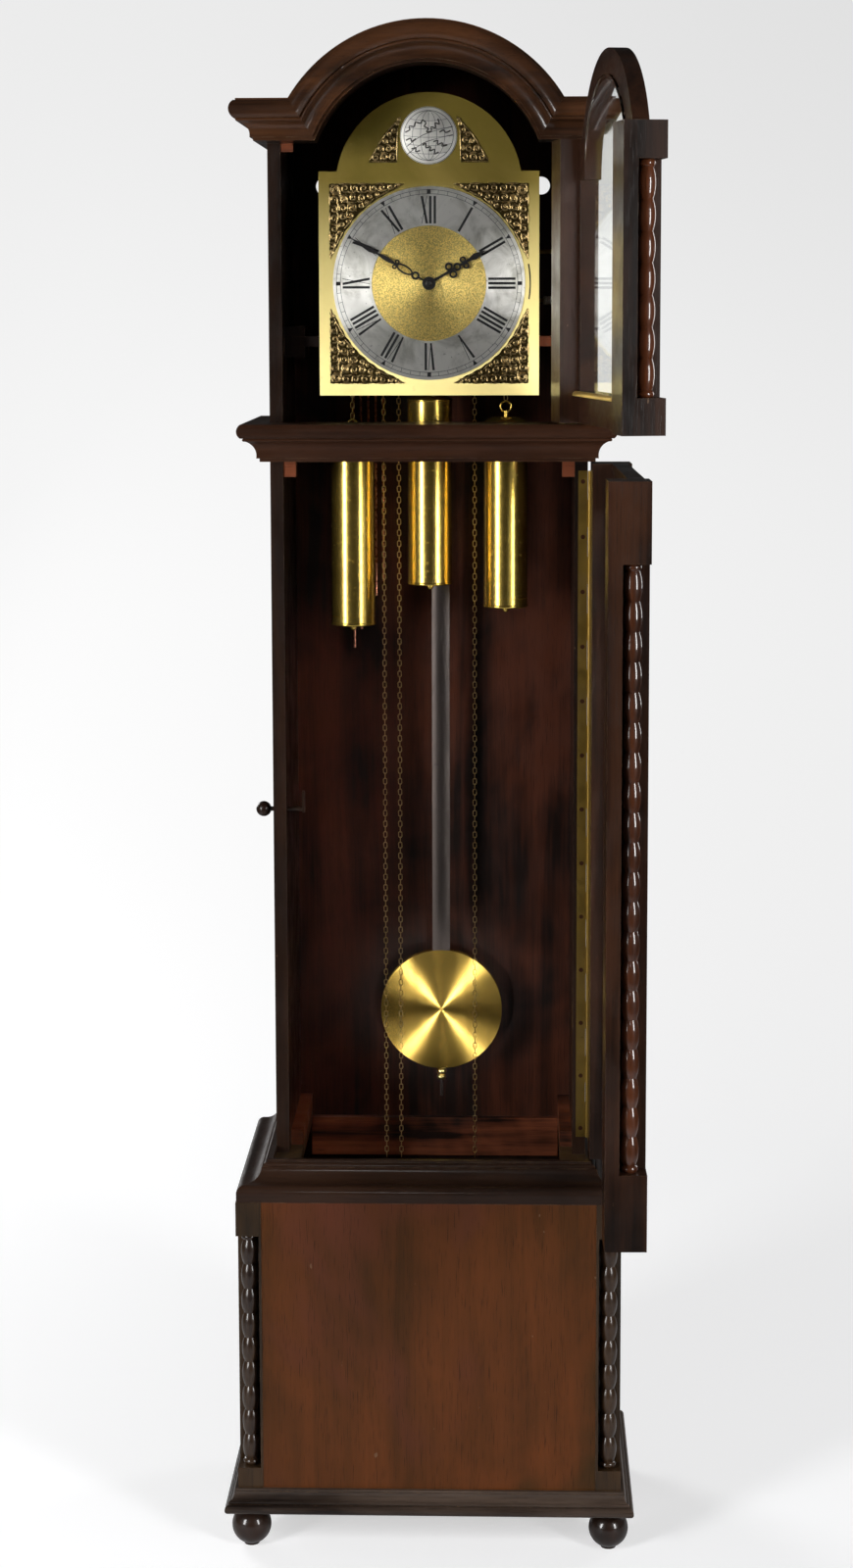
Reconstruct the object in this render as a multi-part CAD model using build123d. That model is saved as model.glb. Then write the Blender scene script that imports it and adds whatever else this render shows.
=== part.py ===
"""Longcase hall clock with an arched hood, bead-turned corner columns and a weight-driven chain movement.

Millimetres, +Z up.  The front of the case faces -Y and +X is to the right of someone who faces it.
The origin is on the floor, under the middle of the base.  Both doors are modelled standing open.
"""
import os
from math import cos, pi, sin, sqrt

from build123d import *

# ---------------------------------------------------------------- case: overall sizes
TRUNK_WIDTH = 410.0          # outside the two side panels
SIDE_DEPTH = 212.0           # side panel, front edge to back edge
SIDE_THICK = 17.0
BACK_THICK = 8.0
DOOR_THICK = 50.0            # both doors stand in front of the side panels
DOOR_GAP = 1.0               # between a closed door's back and the side panels
MOULD_GAP = 1.5              # between a closed door's front plane and the fronts above and below it

FOOT_HEIGHT = 55.0
PLINTH_HEIGHT = 31.0
BASE_HEIGHT = 387.0          # box between plinth and lower moulding
LOWER_MOULD_HEIGHT = 46.0
TRUNK_OPENING = 914.0        # lower moulding to waist moulding
WAIST_HEIGHT = 48.0
HOOD_OPENING = 354.0         # waist moulding to cornice
CORNICE_HEIGHT = 51.0
ARCH_RADIUS = 150.0          # inner edge of the arched cornice
ARCH_DROP = 54.0             # arch centre below the cornice's lower edge

LOWER_OUT = 46.0             # how far each moulding stands out from the trunk
WAIST_OUT = 35.0
CORNICE_OUT = 40.0
PLINTH_OUT = 17.0            # plinth beyond the base box
PLINTH_INSET = 45.0          # plinth frame under the base box

# ---------------------------------------------------------------- mouldings: members of each profile
CORNICE_CAP = 2.5            # square cap above the cornice's nose
CORNICE_CAP_SET = 8.0        # the cap's face behind the nose
CORNICE_NOSE = 21.5
CORNICE_FOOT = 12.0          # lowest fillet beyond the plane of the head
CORNICE_FILLET = 4.0
WAIST_NOSE = 17.5
WAIST_FOOT = 8.0
WAIST_FILLET = 4.5
NOSE_BULGE = 0.25            # of its height
NOSE_STEP = 4.0              # nose back to the small bead
SMALL_BEAD = 4.0             # height of the small bead under a nose
BEAD_BULGE = 1.5
COVE_STEP = 2.0              # small bead back to the cove
FILLET_STEP = 4.0            # cove's lower end back to the fillet
LOWER_LIP = 12.0             # upright lip of the lower moulding
LOWER_LIP_SET = 1.0          # behind the base box's front
LOWER_ROUND = 9.0
LOWER_STEP = 3.0
LOWER_COVE_FOOT = 14.0
LOWER_COVE_TOP = 38.0
LOWER_BEAD = 5.0
LOWER_TOP_OUT = 7.0
PLINTH_NOSE = 12.0
PLINTH_BEAD = 5.0
PLINTH_FILLET = 3.0
PLINTH_FILLET_OUT = 4.0
QUIRK = 3.0                  # groove between the plinth's nose and its bead
ARC_NEAR = 0.293             # middle of a quarter circle, as shares of its box
ARC_FAR = 0.707

# ---------------------------------------------------------------- base
POST_WIDTH = 33.0            # corner posts, square in plan
POST_TOP_BLOCK = 45.0
POST_FOOT_BLOCK = 27.0
POST_WALL = 3.0              # wood left behind the column notch
PANEL_THICK = 12.0
FLOOR_THICK = 12.0
TOP_FRAME_THICK = 18.0
TOP_FRAME_DROP = 9.0         # frame top below the lower moulding's top
FRAME_OPENING_FRONT = 12.0   # width of wood in front of the top frame's opening
PANEL_SETBACK = 1.0          # base panels behind the faces of their posts
FOOT_RADIUS = 26.0
FOOT_INSET_X = 32.0
FOOT_INSET_Y = 40.0
FOOT_PAD_RADIUS = 10.0
FOOT_PAD_HEIGHT = 2.5
FOOT_NECK_RADIUS = 10.0

# ---------------------------------------------------------------- turned columns
BASE_COLUMN_RADIUS = 11.5
DOOR_COLUMN_RADIUS = 11.0
COLUMN_WAIST = 8.0           # radius between two beads
COLUMN_RING = 8.5            # height of the flattened bead at each end
COLUMN_RING_SHARE = 0.93     # its radius as a share of the column's
COLUMN_CLEARANCE = 2.0       # column to the walls of its notch
BASE_BEADS = 9
TRUNK_BEADS = 20
HOOD_BEADS = 7

# ---------------------------------------------------------------- doors
STILE_WIDTH = 55.0
NOTCH_DEPTH = 33.0           # column notch, measured from the door's front face
NOTCH_WIDTH = 30.0
FRAME_THICK = 20.0           # rails, sight edge and arch
DOOR_SIDE_GAP = 0.5          # door's edges inside the trunk's
FRAME_SETBACK = 5.0          # their front behind the stiles' front
SIGHT_EDGE = 12.0            # how far the frame shows inside the stiles
TRUNK_DOOR_CLEARANCE = 3.0   # above and below the trunk door
HOOD_DOOR_CLEARANCE = 3.0
TRUNK_TOP_BLOCK = 95.0
TRUNK_FOOT_BLOCK = 93.0
HOOD_BLOCK = 42.0
TRUNK_RAIL = 62.0
HOOD_RAIL = 40.0
DOOR_ARCH_CLEARANCE = 3.0    # hood door's arch inside the cornice's arch
DOOR_ARCH_WIDTH = 36.0
GLASS_THICK = 3.0
GLASS_LAP = 6.0
BEAD_STRIP = 6.0
TRUNK_DOOR_OPEN = 91.2       # degrees
HOOD_DOOR_OPEN = 100.3

PIANO_LEAF = 15.0
PIANO_LEAF_THICK = 0.4
PIANO_KNUCKLE_RADIUS = 2.6
PIANO_PIN_RADIUS = 1.3
PIANO_KNUCKLES = 24
PIANO_WEB = 5.0              # leaf joined to each knuckle
PIANO_END_GAP = 12.0
PIN_CLEARANCE = 0.05
KNUCKLE_GAP = 0.3

LEAF_LENGTH = 38.0           # hood door's pivot leaves
LEAF_WIDTH = 12.0
LEAF_THICK = 2.0
LEAF_SETBACK = 4.0           # behind the door's front
ARM_ROOT = 6.0               # root of the arm that reaches the pivot
ARM_HALF = 3.0
PIVOT_EYE_RADIUS = 5.0
PIVOT_PIN_RADIUS = 2.0
PIVOT_OUT = 2.5              # pivot beyond the door's corner, both ways

LATCH_RISE = 453.0           # above the trunk's lower end
LATCH_BACK = 16.0            # spindle behind the side panel's front edge
LATCH_BALL_RADIUS = 10.0
LATCH_SPINDLE_RADIUS = 3.0
LATCH_BALL_OUT = 14.0
LATCH_ARM_LENGTH = 19.0       # spindle's axis to the centre of the arm's round end
LATCH_ARM_THICK = 3.0
LATCH_ARM_HALF = 5.0
LATCH_REACH = 23.0           # spindle beyond the side panel's inner face
LATCH_SLOT_MARGIN = 3.0

# ---------------------------------------------------------------- blocks inside the case
CLEAT_WIDTH = 16.0
CLEAT_HEIGHT = 21.0
CLEAT_FRONT = 34.0           # behind the side panels' front edges
GLUE_BLOCK = (16.0, 22.0, 21.0)
GLUE_BLOCK_DROP = 2.0
GLUE_BLOCK_FRONT = 2.0
BRACE_FRONT = 1.0
BACK_RAIL_HEIGHT = 54.0
BACK_RAIL_THICK = 10.0
BACK_RAIL_DROP = 10.0
BOARD_HOLE_RADIUS = 12.0
BOARD_HOLE_INSET = 42.0      # from the side panel's inner face
BOARD_HOLE_RISE = 309.0      # above the waist moulding
ROOF_THICK = 6.0
HEAD_WALL = 24.0             # arch head's rim outside the arch
HEAD_CLEARANCE = 1.0

# ---------------------------------------------------------------- dial
DIAL_FRONT = 30.0            # dial's face behind the side panels' front edges
DIAL_THICK = 2.0
DIAL_WIDTH = 284.0
DIAL_RISE = 33.0             # dial's lower edge above the waist moulding
DIAL_SQUARE = 287.0
DIAL_ARCH_RADIUS = 120.0
CENTRE_RISE = 144.0          # hands' centre above the dial's lower edge
RING_RADIUS = 124.0
RING_INNER = 74.0
RING_THICK = 1.2
CENTRE_THICK = 0.8
CENTRE_GAP = 0.2
GLOBE_RADIUS = 36.5
GLOBE_LIFT = 65.0            # globe boss above the arch's centre
GLOBE_BOW = 3.0
GLOBE_RIM = 1.0
SPANDREL_THICK = 2.5
SPANDREL_MARGIN = 3.0
SPANDREL_EDGE = (            # half of a corner spandrel's outline, measured inwards from the corner
    (3.0, 3.0), (13.0, 0.0), (24.0, 3.0), (36.0, 0.0), (49.0, 3.0), (62.0, 0.0), (76.0, 4.0), (94.0, 6.0),
    (88.0, 13.0), (78.0, 15.0), (73.0, 23.0), (63.0, 24.0), (59.0, 34.0), (50.0, 38.0),
)
SPANDREL_MIDDLE = 45.0
WING_EDGE = (                # outline of the left arch spandrel, measured from the globe's centre
    (-79.0, -31.0), (-68.0, -35.0), (-57.0, -31.0), (-45.0, -29.0), (-46.0, -16.0), (-43.0, -4.0),
    (-43.0, 8.0), (-36.0, 20.0), (-38.0, 26.0), (-47.0, 20.0), (-53.0, 9.0), (-61.0, 4.0), (-64.0, -8.0),
    (-72.0, -14.0),
)
POST_RADIUS = 4.0

# ---------------------------------------------------------------- movement
SEAT_RISE = 76.0             # seat board's top above the dial's lower edge
SEAT_THICK = 13.0
SEAT_FRONT = 40.0            # behind the side panels' front edges
SEAT_DEPTH = 76.0
SEAT_END_GAP = 10.0
SEAT_SLOT_SIDE = 7.0         # slot beyond the two chains of a weight
SEAT_SLOT_FRONT = 10.0
SEAT_SLOT_BACK = 8.0
BRACKET = (26.0, 76.0, 40.0)
PLATE_WIDTH = 202.0
PILLAR_INSET = 11.0
POST_INSET = 34.0
PLATE_HEIGHT = 158.0
PLATE_THICK = 2.0
PLATE_FRONT = 46.0
PLATE_SPACING = 54.0
PILLAR_RADIUS = 4.0
ARBOR_RADIUS = 1.5
SPROCKET_RADIUS = 20.5
SPROCKET_TEETH = 9
SPROCKET_THICK = 5.0
SPROCKET_TOOTH = 3.0
SPROCKET_SLEEVE = 6.0
SPROCKET_RISE = 42.0         # above the seat board
GREAT_WHEEL_RADIUS = 27.0
GREAT_WHEEL_TEETH = 60
GREAT_WHEEL_THICK = 2.0
GREAT_WHEEL_TOOTH = 2.0
GREAT_WHEEL_LEAD = 14.0      # in front of the chains' plane
WEIGHT_X = (-103.0, -1.0, 99.0)
SPROCKET_SIDE = (1, -1, -1)  # side of its weight on which each sprocket stands
CENTRE_PIPE_RADIUS = 2.5
HOUR_PIPE_RADIUS = 4.0
HAND_THICK = 0.9
HOUR_HAND_LIFT = 4.0         # above the dial plate
MINUTE_HAND_LIFT = 7.5
HAND_HUB = 8.5
HOUR_HAND_LENGTH = 84.0
HOUR_HAND_ANGLE = 60.0       # degrees clockwise from XII
HOUR_SHANK = 3.4
HOUR_SPEAR = (64.0, 69.0, 4.2)       # foot, shoulder and half width of the spear
HOUR_RINGS = ((5.6, 33.0, 5.2, 2.6), (0.0, 42.0, 5.2, 2.6), (4.4, 53.0, 4.2, 1.9))
MINUTE_HAND_LENGTH = 119.0
MINUTE_HAND_ANGLE = 300.0
MINUTE_SHANK = 2.4
MINUTE_SPEAR = (80.0, 87.0, 3.6)
MINUTE_RINGS = ((0.0, 20.0, 5.4, 2.6), (3.6, 49.0, 3.2, 1.3))
MINUTE_LOOP = (36.0, 5.4, 12.0, 3.2, 9.4)    # height, outer half axes, inner half axes
MINUTE_SWELL = (63.0, 2.8, 13.0)
HAND_NUT_RADIUS = 4.5
HAND_NUT_THICK = 3.0

# ---------------------------------------------------------------- pendulum
PENDULUM_X = 11.0
PIVOT_RISE = 126.0           # above the seat board
PENDULUM_BACK = 150.0        # pendulum's plane behind the side panels' front edges
ROD_WIDTH = 24.0
ROD_THICK = 5.0
ROD_DROP = 61.0              # rod's top below the pivot
ROD_CLIP = (8.0, 10.0, 6.0)
ROD_CLEARANCE = 0.2
BOB_RISE = 149.0             # above the trunk's lower end
BOB_RADIUS = 83.0
BOB_RIM = 3.0
BOB_DISH = 8.0
BOB_BOX = 9.0                # half thickness of the slide behind the bob's face
RATING_DROP = 123.0          # screw's end below the bob's centre
RATING_BULBS = ((7.0, 8.5), (6.2, 7.5))      # radius and height of the nut's two bulbs, upper one first
RATING_NECK = 4.2
RATING_GAP = 0.5
RATING_SCREW_RADIUS = 2.0
SPRING_WIDTH = 6.0
SPRING_THICK = 0.4
CRUTCH_LENGTH = 95.0
CRUTCH_RADIUS = 1.5
CRUTCH_GAP = 9.0
PALLET_REACH = 17.0
PALLET_DROP = 12.0
COCK_WIDTH = 26.0
COCK_THICK = 4.0
COCK_LAP = 6.0
COCK_FOOT = (10.0, 18.0)     # its plate, below and above the pivot
COCK_HOLE_RADIUS = 3.5

# ---------------------------------------------------------------- weights, chains, rods
WEIGHT_RADIUS = 30.0
WEIGHT_LENGTH = 250.0
WEIGHT_FLANGE = 3.0
WEIGHT_LOWER_CAP = 12.0
WEIGHT_UPPER_CAP = 9.0
WEIGHT_GROOVE = 1.6
WEIGHT_SHELL_SET = 1.0       # shell inside the flanges
WEIGHT_TIP_RADIUS = 4.5
WEIGHT_TIP_LENGTH = 9.0
WEIGHT_STEM_RADIUS = 3.0
WEIGHT_STEM = 8.0
WEIGHT_DROP = (271.0, 217.0, 247.0)  # bottoms below the waist moulding's top
HOOK_RADIUS = 7.0
HOOK_WIRE = 1.4
CHAIN_PLANE = 82.0           # chains' plane behind the side panels' front edges
CHAIN_RADIUS = 2.6
CHAIN_DROP = 40.0            # free chains' ends below the trunk's lower end
CHAIN_WIRE_CLEARANCE = 0.4
ROD_BLOCK = (120.0, 22.0, 26.0)
ROD_BLOCK_RISE = 39.0        # above the waist moulding
GONG_RADIUS = 1.6
GONG_LENGTHS = (356.0, 330.0, 306.0, 284.0, 264.0)
GONG_PITCH = 10.0
GONG_X = -108.0

# ---------------------------------------------------------------- worked-out levels and planes
HALF = TRUNK_WIDTH / 2
INNER = HALF - SIDE_THICK
PLINTH_Z = FOOT_HEIGHT
BASE_Z = PLINTH_Z + PLINTH_HEIGHT
LOWER_Z = BASE_Z + BASE_HEIGHT
TRUNK_Z = LOWER_Z + LOWER_MOULD_HEIGHT
WAIST_Z = TRUNK_Z + TRUNK_OPENING
HOOD_Z = WAIST_Z + WAIST_HEIGHT
CORNICE_Z = HOOD_Z + HOOD_OPENING
TOP_Z = CORNICE_Z + CORNICE_HEIGHT
ARCH_Z = CORNICE_Z - ARCH_DROP
FRONT_STEP = DOOR_GAP + DOOR_THICK + MOULD_GAP
BASE_LEAD = FRONT_STEP + LOWER_OUT
BASE_DEPTH = SIDE_DEPTH + BASE_LEAD
BASE_FRONT = -BASE_DEPTH / 2
BACK = BASE_DEPTH / 2
FRONT = BASE_FRONT + BASE_LEAD          # front edges of the side panels
MOULD_FRONT = FRONT - FRONT_STEP        # plane that the mouldings stand out from
BOARD_FRONT = BACK - BACK_THICK
BASE_HALF = HALF + LOWER_OUT
FRAME_TOP = TRUNK_Z - TOP_FRAME_DROP
ARCH_OUTER = ARCH_RADIUS + CORNICE_HEIGHT
DIAL_Y = FRONT + DIAL_FRONT
CHAIN_Y = FRONT + CHAIN_PLANE
PENDULUM_Y = FRONT + PENDULUM_BACK
LATCH_HEIGHT = TRUNK_Z + LATCH_RISE
DIAL_BOTTOM = HOOD_Z + DIAL_RISE
DIAL_CENTRE = DIAL_BOTTOM + CENTRE_RISE
GLOBE_CENTRE = ARCH_Z + GLOBE_LIFT
SEAT_TOP = DIAL_BOTTOM + SEAT_RISE
SPROCKET_HEIGHT = SEAT_TOP + SPROCKET_RISE
PIVOT_HEIGHT = SEAT_TOP + PIVOT_RISE
ROD_TOP = PIVOT_HEIGHT - ROD_DROP
BOB_HEIGHT = TRUNK_Z + BOB_RISE
RATING_END = BOB_HEIGHT - RATING_DROP
CHAIN_END = TRUNK_Z - CHAIN_DROP
ROD_BLOCK_BOTTOM = HOOD_Z + ROD_BLOCK_RISE


# ---------------------------------------------------------------- small helpers
def block(x, y, z):
    """A box from three (low, high) pairs."""
    size = [abs(pair[1] - pair[0]) for pair in (x, y, z)]
    middle = [(pair[0] + pair[1]) / 2 for pair in (x, y, z)]
    return Pos(*middle) * Box(*size)


def rod(radius, x, y, z):
    """An upright cylinder from z[0] to z[1]."""
    return Pos(x, y, (z[0] + z[1]) / 2) * Cylinder(radius, abs(z[1] - z[0]))


def arbor(radius, x, z, y):
    """A cylinder along Y from y[0] to y[1]."""
    return Pos(x, (y[0] + y[1]) / 2, z) * Rot(90, 0, 0) * Cylinder(radius, abs(y[1] - y[0]))


def front_plate(face, y_front, thick):
    """A face drawn in (x, z), given a thickness from y_front towards the back."""
    plane = Plane(origin=(0, y_front + thick, 0), x_dir=(1, 0, 0), z_dir=(0, -1, 0))
    return extrude(plane * face, thick)


def plan_prism(points, z):
    """An upright prism over a polygon drawn in (x, y)."""
    return extrude(Plane.XY.offset(z[0]) * make_face(Polyline(*points, close=True)), z[1] - z[0])


def outline(points):
    """A flat face bounded by straight lines."""
    return make_face(Polyline(*points, close=True))


def outline_with_arc(points, middle):
    """A flat face bounded by straight lines and one arc, from the last point through middle to the first."""
    return make_face(Polyline(*points) + ThreePointArc(points[-1], middle, points[0]))


def mirrored(shape):
    """The shape and its mirror image across the clock's middle plane."""
    return [shape, mirror(shape, about=Plane.YZ)]


def turned(profile_edges, x, y):
    """A turning about the upright line through (x, y), from a closed profile drawn in (radius, z)."""
    face = Plane.XZ * make_face(profile_edges)
    return Pos(x, y, 0) * revolve(face, Axis.Z)


def swing(shape, pivot, angle):
    """Turn a shape about the upright line through pivot."""
    return Pos(pivot[0], pivot[1], 0) * Rot(0, 0, angle) * Pos(-pivot[0], -pivot[1], 0) * shape


def save(name, *shapes):
    """Write one node: each shape stays a solid of its own."""
    solids = []
    for shape in shapes:
        solids += list(shape.solids())
    whole = solids[0] if len(solids) == 1 else Compound(children=solids)
    export_step(whole, f"parts/{name}.step")


# ---------------------------------------------------------------- mouldings
def quarter(start, end):
    """A quarter curve that leaves start upright and reaches end level."""
    middle = (
        start[0] * ARC_FAR + end[0] * ARC_NEAR,
        start[1] * ARC_NEAR + end[1] * ARC_FAR,
    )
    return ThreePointArc(start, middle, end)


def bullnose_section(out, height, nose, foot, fillet_height, cap=0.0):
    """Cap, rounded nose, small bead, cove and fillet, from the top down."""
    shoulder = out - nose * NOSE_BULGE
    nose_top = height - cap
    nose_low = nose_top - nose
    bead_x = shoulder - NOSE_STEP
    bead_low = nose_low - SMALL_BEAD
    top = [(0, height)]
    if cap:
        top += [(out - CORNICE_CAP_SET, height), (out - CORNICE_CAP_SET, nose_top)]
    top += [(shoulder, nose_top)]
    cove_end = (foot + FILLET_STEP, fillet_height)
    return (
        Polyline(*top)
        + ThreePointArc((shoulder, nose_top), (out, (nose_top + nose_low) / 2), (shoulder, nose_low))
        + Line((shoulder, nose_low), (bead_x, nose_low))
        + ThreePointArc(
            (bead_x, nose_low), (bead_x + BEAD_BULGE, nose_low - SMALL_BEAD / 2), (bead_x, bead_low)
        )
        + Line((bead_x, bead_low), (bead_x - COVE_STEP, bead_low))
        + quarter(cove_end, (bead_x - COVE_STEP, bead_low))
        + Polyline(cove_end, (foot, fillet_height), (foot, 0), (0, 0), (0, height))
    )


def lower_section(out, height):
    """Upright lip with a rounded top, a cove that rises to the trunk, a small bead and a fillet."""
    lip = out - LOWER_LIP_SET
    round_top = LOWER_LIP + LOWER_ROUND
    cove_x = lip - LOWER_ROUND - LOWER_STEP
    bead_x = LOWER_COVE_FOOT - COVE_STEP
    bead_top = LOWER_COVE_TOP + LOWER_BEAD
    return (
        Polyline((0, height), (0, 0), (lip, 0), (lip, LOWER_LIP))
        + quarter((lip, LOWER_LIP), (lip - LOWER_ROUND, round_top))
        + Line((lip - LOWER_ROUND, round_top), (cove_x, round_top))
        + quarter((LOWER_COVE_FOOT, LOWER_COVE_TOP), (cove_x, round_top))
        + Line((LOWER_COVE_FOOT, LOWER_COVE_TOP), (bead_x, LOWER_COVE_TOP))
        + quarter((bead_x, LOWER_COVE_TOP), (bead_x - LOWER_STEP, bead_top))
        + Polyline(
            (bead_x - LOWER_STEP, bead_top), (LOWER_TOP_OUT, bead_top), (LOWER_TOP_OUT, height), (0, height)
        )
    )


def plinth_section(out, height, inset):
    """Rounded foot, quirk, small bead, cove and fillet, with a flat inner part under the base."""
    shoulder = out - PLINTH_NOSE / 3
    bead_x = shoulder - QUIRK
    bead_top = PLINTH_NOSE + PLINTH_BEAD
    cove_x = bead_x - COVE_STEP / 2
    cove_end = (PLINTH_FILLET_OUT + COVE_STEP / 2, height - PLINTH_FILLET)
    return (
        Polyline((-inset, height), (-inset, 0), (shoulder, 0))
        + ThreePointArc((shoulder, 0), (out, PLINTH_NOSE / 2), (shoulder, PLINTH_NOSE))
        + Line((shoulder, PLINTH_NOSE), (bead_x, PLINTH_NOSE))
        + ThreePointArc(
            (bead_x, PLINTH_NOSE), (bead_x + BEAD_BULGE, PLINTH_NOSE + PLINTH_BEAD / 2), (bead_x, bead_top)
        )
        + Line((bead_x, bead_top), (cove_x, bead_top))
        + quarter(cove_end, (cove_x, bead_top))
        + Polyline(
            cove_end, (PLINTH_FILLET_OUT, height - PLINTH_FILLET), (PLINTH_FILLET_OUT, height),
            (-inset, height),
        )
    )


def run_x(section, y_plane, z, x):
    """A moulding run along X whose section stands out towards -Y."""
    plane = Plane(origin=(x[0], y_plane, z), x_dir=(0, -1, 0), z_dir=(-1, 0, 0))
    face = plane * make_face(section)
    return extrude(face, amount=x[1] - x[0], dir=(1, 0, 0))


def run_y(section, x_plane, z, y):
    """A moulding run along Y whose section stands out towards -X."""
    plane = Plane(origin=(-x_plane, y[0], z), x_dir=(-1, 0, 0), z_dir=(0, 1, 0))
    face = plane * make_face(section)
    return extrude(face, amount=y[1] - y[0], dir=(0, 1, 0))


def mitred_set(section, half, y_plane, z, reach, inset=0.0):
    """Front and two side mouldings, mitred at the front corners."""
    high = (z - 1, z + 200)
    front = run_x(section, y_plane, z, (-half - reach - 1, half + reach + 1))
    front &= plan_prism(
        [
            (-half - reach, y_plane - reach), (half + reach, y_plane - reach),
            (half - inset, y_plane + inset), (-half + inset, y_plane + inset),
        ],
        high,
    )
    side = run_y(section, half, z, (y_plane - reach - 1, BACK))
    side &= plan_prism(
        [
            (-half - reach, y_plane - reach), (-half + inset, y_plane + inset),
            (-half + inset, BACK), (-half - reach, BACK),
        ],
        high,
    )
    return front, side


# ---------------------------------------------------------------- turned columns
def bead_column(radius, z, beads, x, y):
    """A column of rounded barrels with a narrow waist between them and a flattened bead at each end."""
    low, high = z
    heights = [COLUMN_RING] + [(high - low - 2 * COLUMN_RING) / beads] * beads + [COLUMN_RING]
    edges = [Line((0, low), (COLUMN_WAIST, low))]
    start = low
    for number, height in enumerate(heights):
        is_ring = number in (0, len(heights) - 1)
        reach = radius * COLUMN_RING_SHARE if is_ring else radius
        end = high if number == len(heights) - 1 else start + height
        edges.append(ThreePointArc((COLUMN_WAIST, start), (reach, (start + end) / 2), (COLUMN_WAIST, end)))
        start = end
    edges.append(Polyline((COLUMN_WAIST, high), (0, high), (0, low)))
    return turned(edges, x, y)


# ---------------------------------------------------------------- base
def make_base():
    front, side = mitred_set(
        plinth_section(PLINTH_OUT, PLINTH_HEIGHT, PLINTH_INSET),
        BASE_HALF, BASE_FRONT, PLINTH_Z, PLINTH_OUT, PLINTH_INSET,
    )
    back_bar = block(
        (-BASE_HALF + PLINTH_INSET, BASE_HALF - PLINTH_INSET), (BACK - PLINTH_INSET, BACK),
        (PLINTH_Z, BASE_Z),
    )
    save("plinth_moulding", front, *mirrored(side), back_bar)

    foot_x = BASE_HALF + PLINTH_OUT - FOOT_INSET_X
    feet_y = (BASE_FRONT - PLINTH_OUT + FOOT_INSET_Y, BACK - FOOT_INSET_Y)
    ball_z = FOOT_PAD_HEIGHT + sqrt(FOOT_RADIUS**2 - FOOT_PAD_RADIUS**2)
    neck_z = ball_z + sqrt(FOOT_RADIUS**2 - FOOT_NECK_RADIUS**2)
    profile = [
        Polyline((0, 0), (FOOT_PAD_RADIUS, 0), (FOOT_PAD_RADIUS, FOOT_PAD_HEIGHT)),
        ThreePointArc((FOOT_PAD_RADIUS, FOOT_PAD_HEIGHT), (FOOT_RADIUS, ball_z), (FOOT_NECK_RADIUS, neck_z)),
        Polyline((FOOT_NECK_RADIUS, neck_z), (FOOT_NECK_RADIUS, FOOT_HEIGHT), (0, FOOT_HEIGHT), (0, 0)),
    ]
    save("ball_feet", *[turned(profile, x, y) for x in (-foot_x, foot_x) for y in feet_y])

    inner = BASE_HALF - POST_WIDTH
    panel_front = BASE_FRONT + PANEL_SETBACK
    panel_side = BASE_HALF - PANEL_SETBACK
    save(
        "base_front_panel",
        block((-inner, inner), (panel_front, panel_front + PANEL_THICK), (BASE_Z, LOWER_Z)),
    )
    side_panel = block(
        (-panel_side, -panel_side + PANEL_THICK), (BASE_FRONT + POST_WIDTH, BACK), (BASE_Z, LOWER_Z)
    )
    back_panel = block(
        (-panel_side + PANEL_THICK, panel_side - PANEL_THICK), (BOARD_FRONT, BACK), (BASE_Z, LOWER_Z),
    )
    save("base_side_panels", *mirrored(side_panel), back_panel)
    save(
        "base_floor",
        block(
            (-panel_side + PANEL_THICK, panel_side - PANEL_THICK),
            (BASE_FRONT + POST_WIDTH, BOARD_FRONT), (BASE_Z, BASE_Z + FLOOR_THICK),
        ),
    )

    notch_z = (BASE_Z + POST_FOOT_BLOCK, LOWER_Z - POST_TOP_BLOCK)
    post = block((-BASE_HALF, -inner), (BASE_FRONT, BASE_FRONT + POST_WIDTH), (BASE_Z, LOWER_Z))
    post -= block(
        (-BASE_HALF - 1, -inner - POST_WALL), (BASE_FRONT - 1, BASE_FRONT + POST_WIDTH - POST_WALL), notch_z
    )
    save("corner_posts", *mirrored(post))
    centre = BASE_COLUMN_RADIUS + POST_WALL + COLUMN_CLEARANCE
    column = bead_column(
        BASE_COLUMN_RADIUS, notch_z, BASE_BEADS, -inner - centre, BASE_FRONT + POST_WIDTH - centre
    )
    save("base_columns", *mirrored(column))

    section = lower_section(LOWER_OUT, LOWER_MOULD_HEIGHT)
    front, side = mitred_set(section, HALF, MOULD_FRONT, LOWER_Z, LOWER_OUT)
    save("lower_moulding", front, *mirrored(side))
    opening_front = MOULD_FRONT + FRAME_OPENING_FRONT
    frame = block((-HALF, HALF), (MOULD_FRONT, BOARD_FRONT), (FRAME_TOP - TOP_FRAME_THICK, FRAME_TOP))
    frame -= block(
        (-INNER + CLEAT_WIDTH, INNER - CLEAT_WIDTH), (opening_front, BACK), (LOWER_Z, TRUNK_Z),
    )
    save("base_top_frame", frame)


# ---------------------------------------------------------------- trunk and hood carcass
def head_outline(radius, half, top, bottom):
    """A hood-wide face with an arched top."""
    reach = sqrt(radius**2 - (top - ARCH_Z) ** 2)
    arch = ThreePointArc((-reach, top), (0, ARCH_Z + radius), (reach, top))
    return make_face(
        Polyline((reach, top), (half, top), (half, bottom), (-half, bottom), (-half, top), (-reach, top))
        + arch
    )


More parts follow.
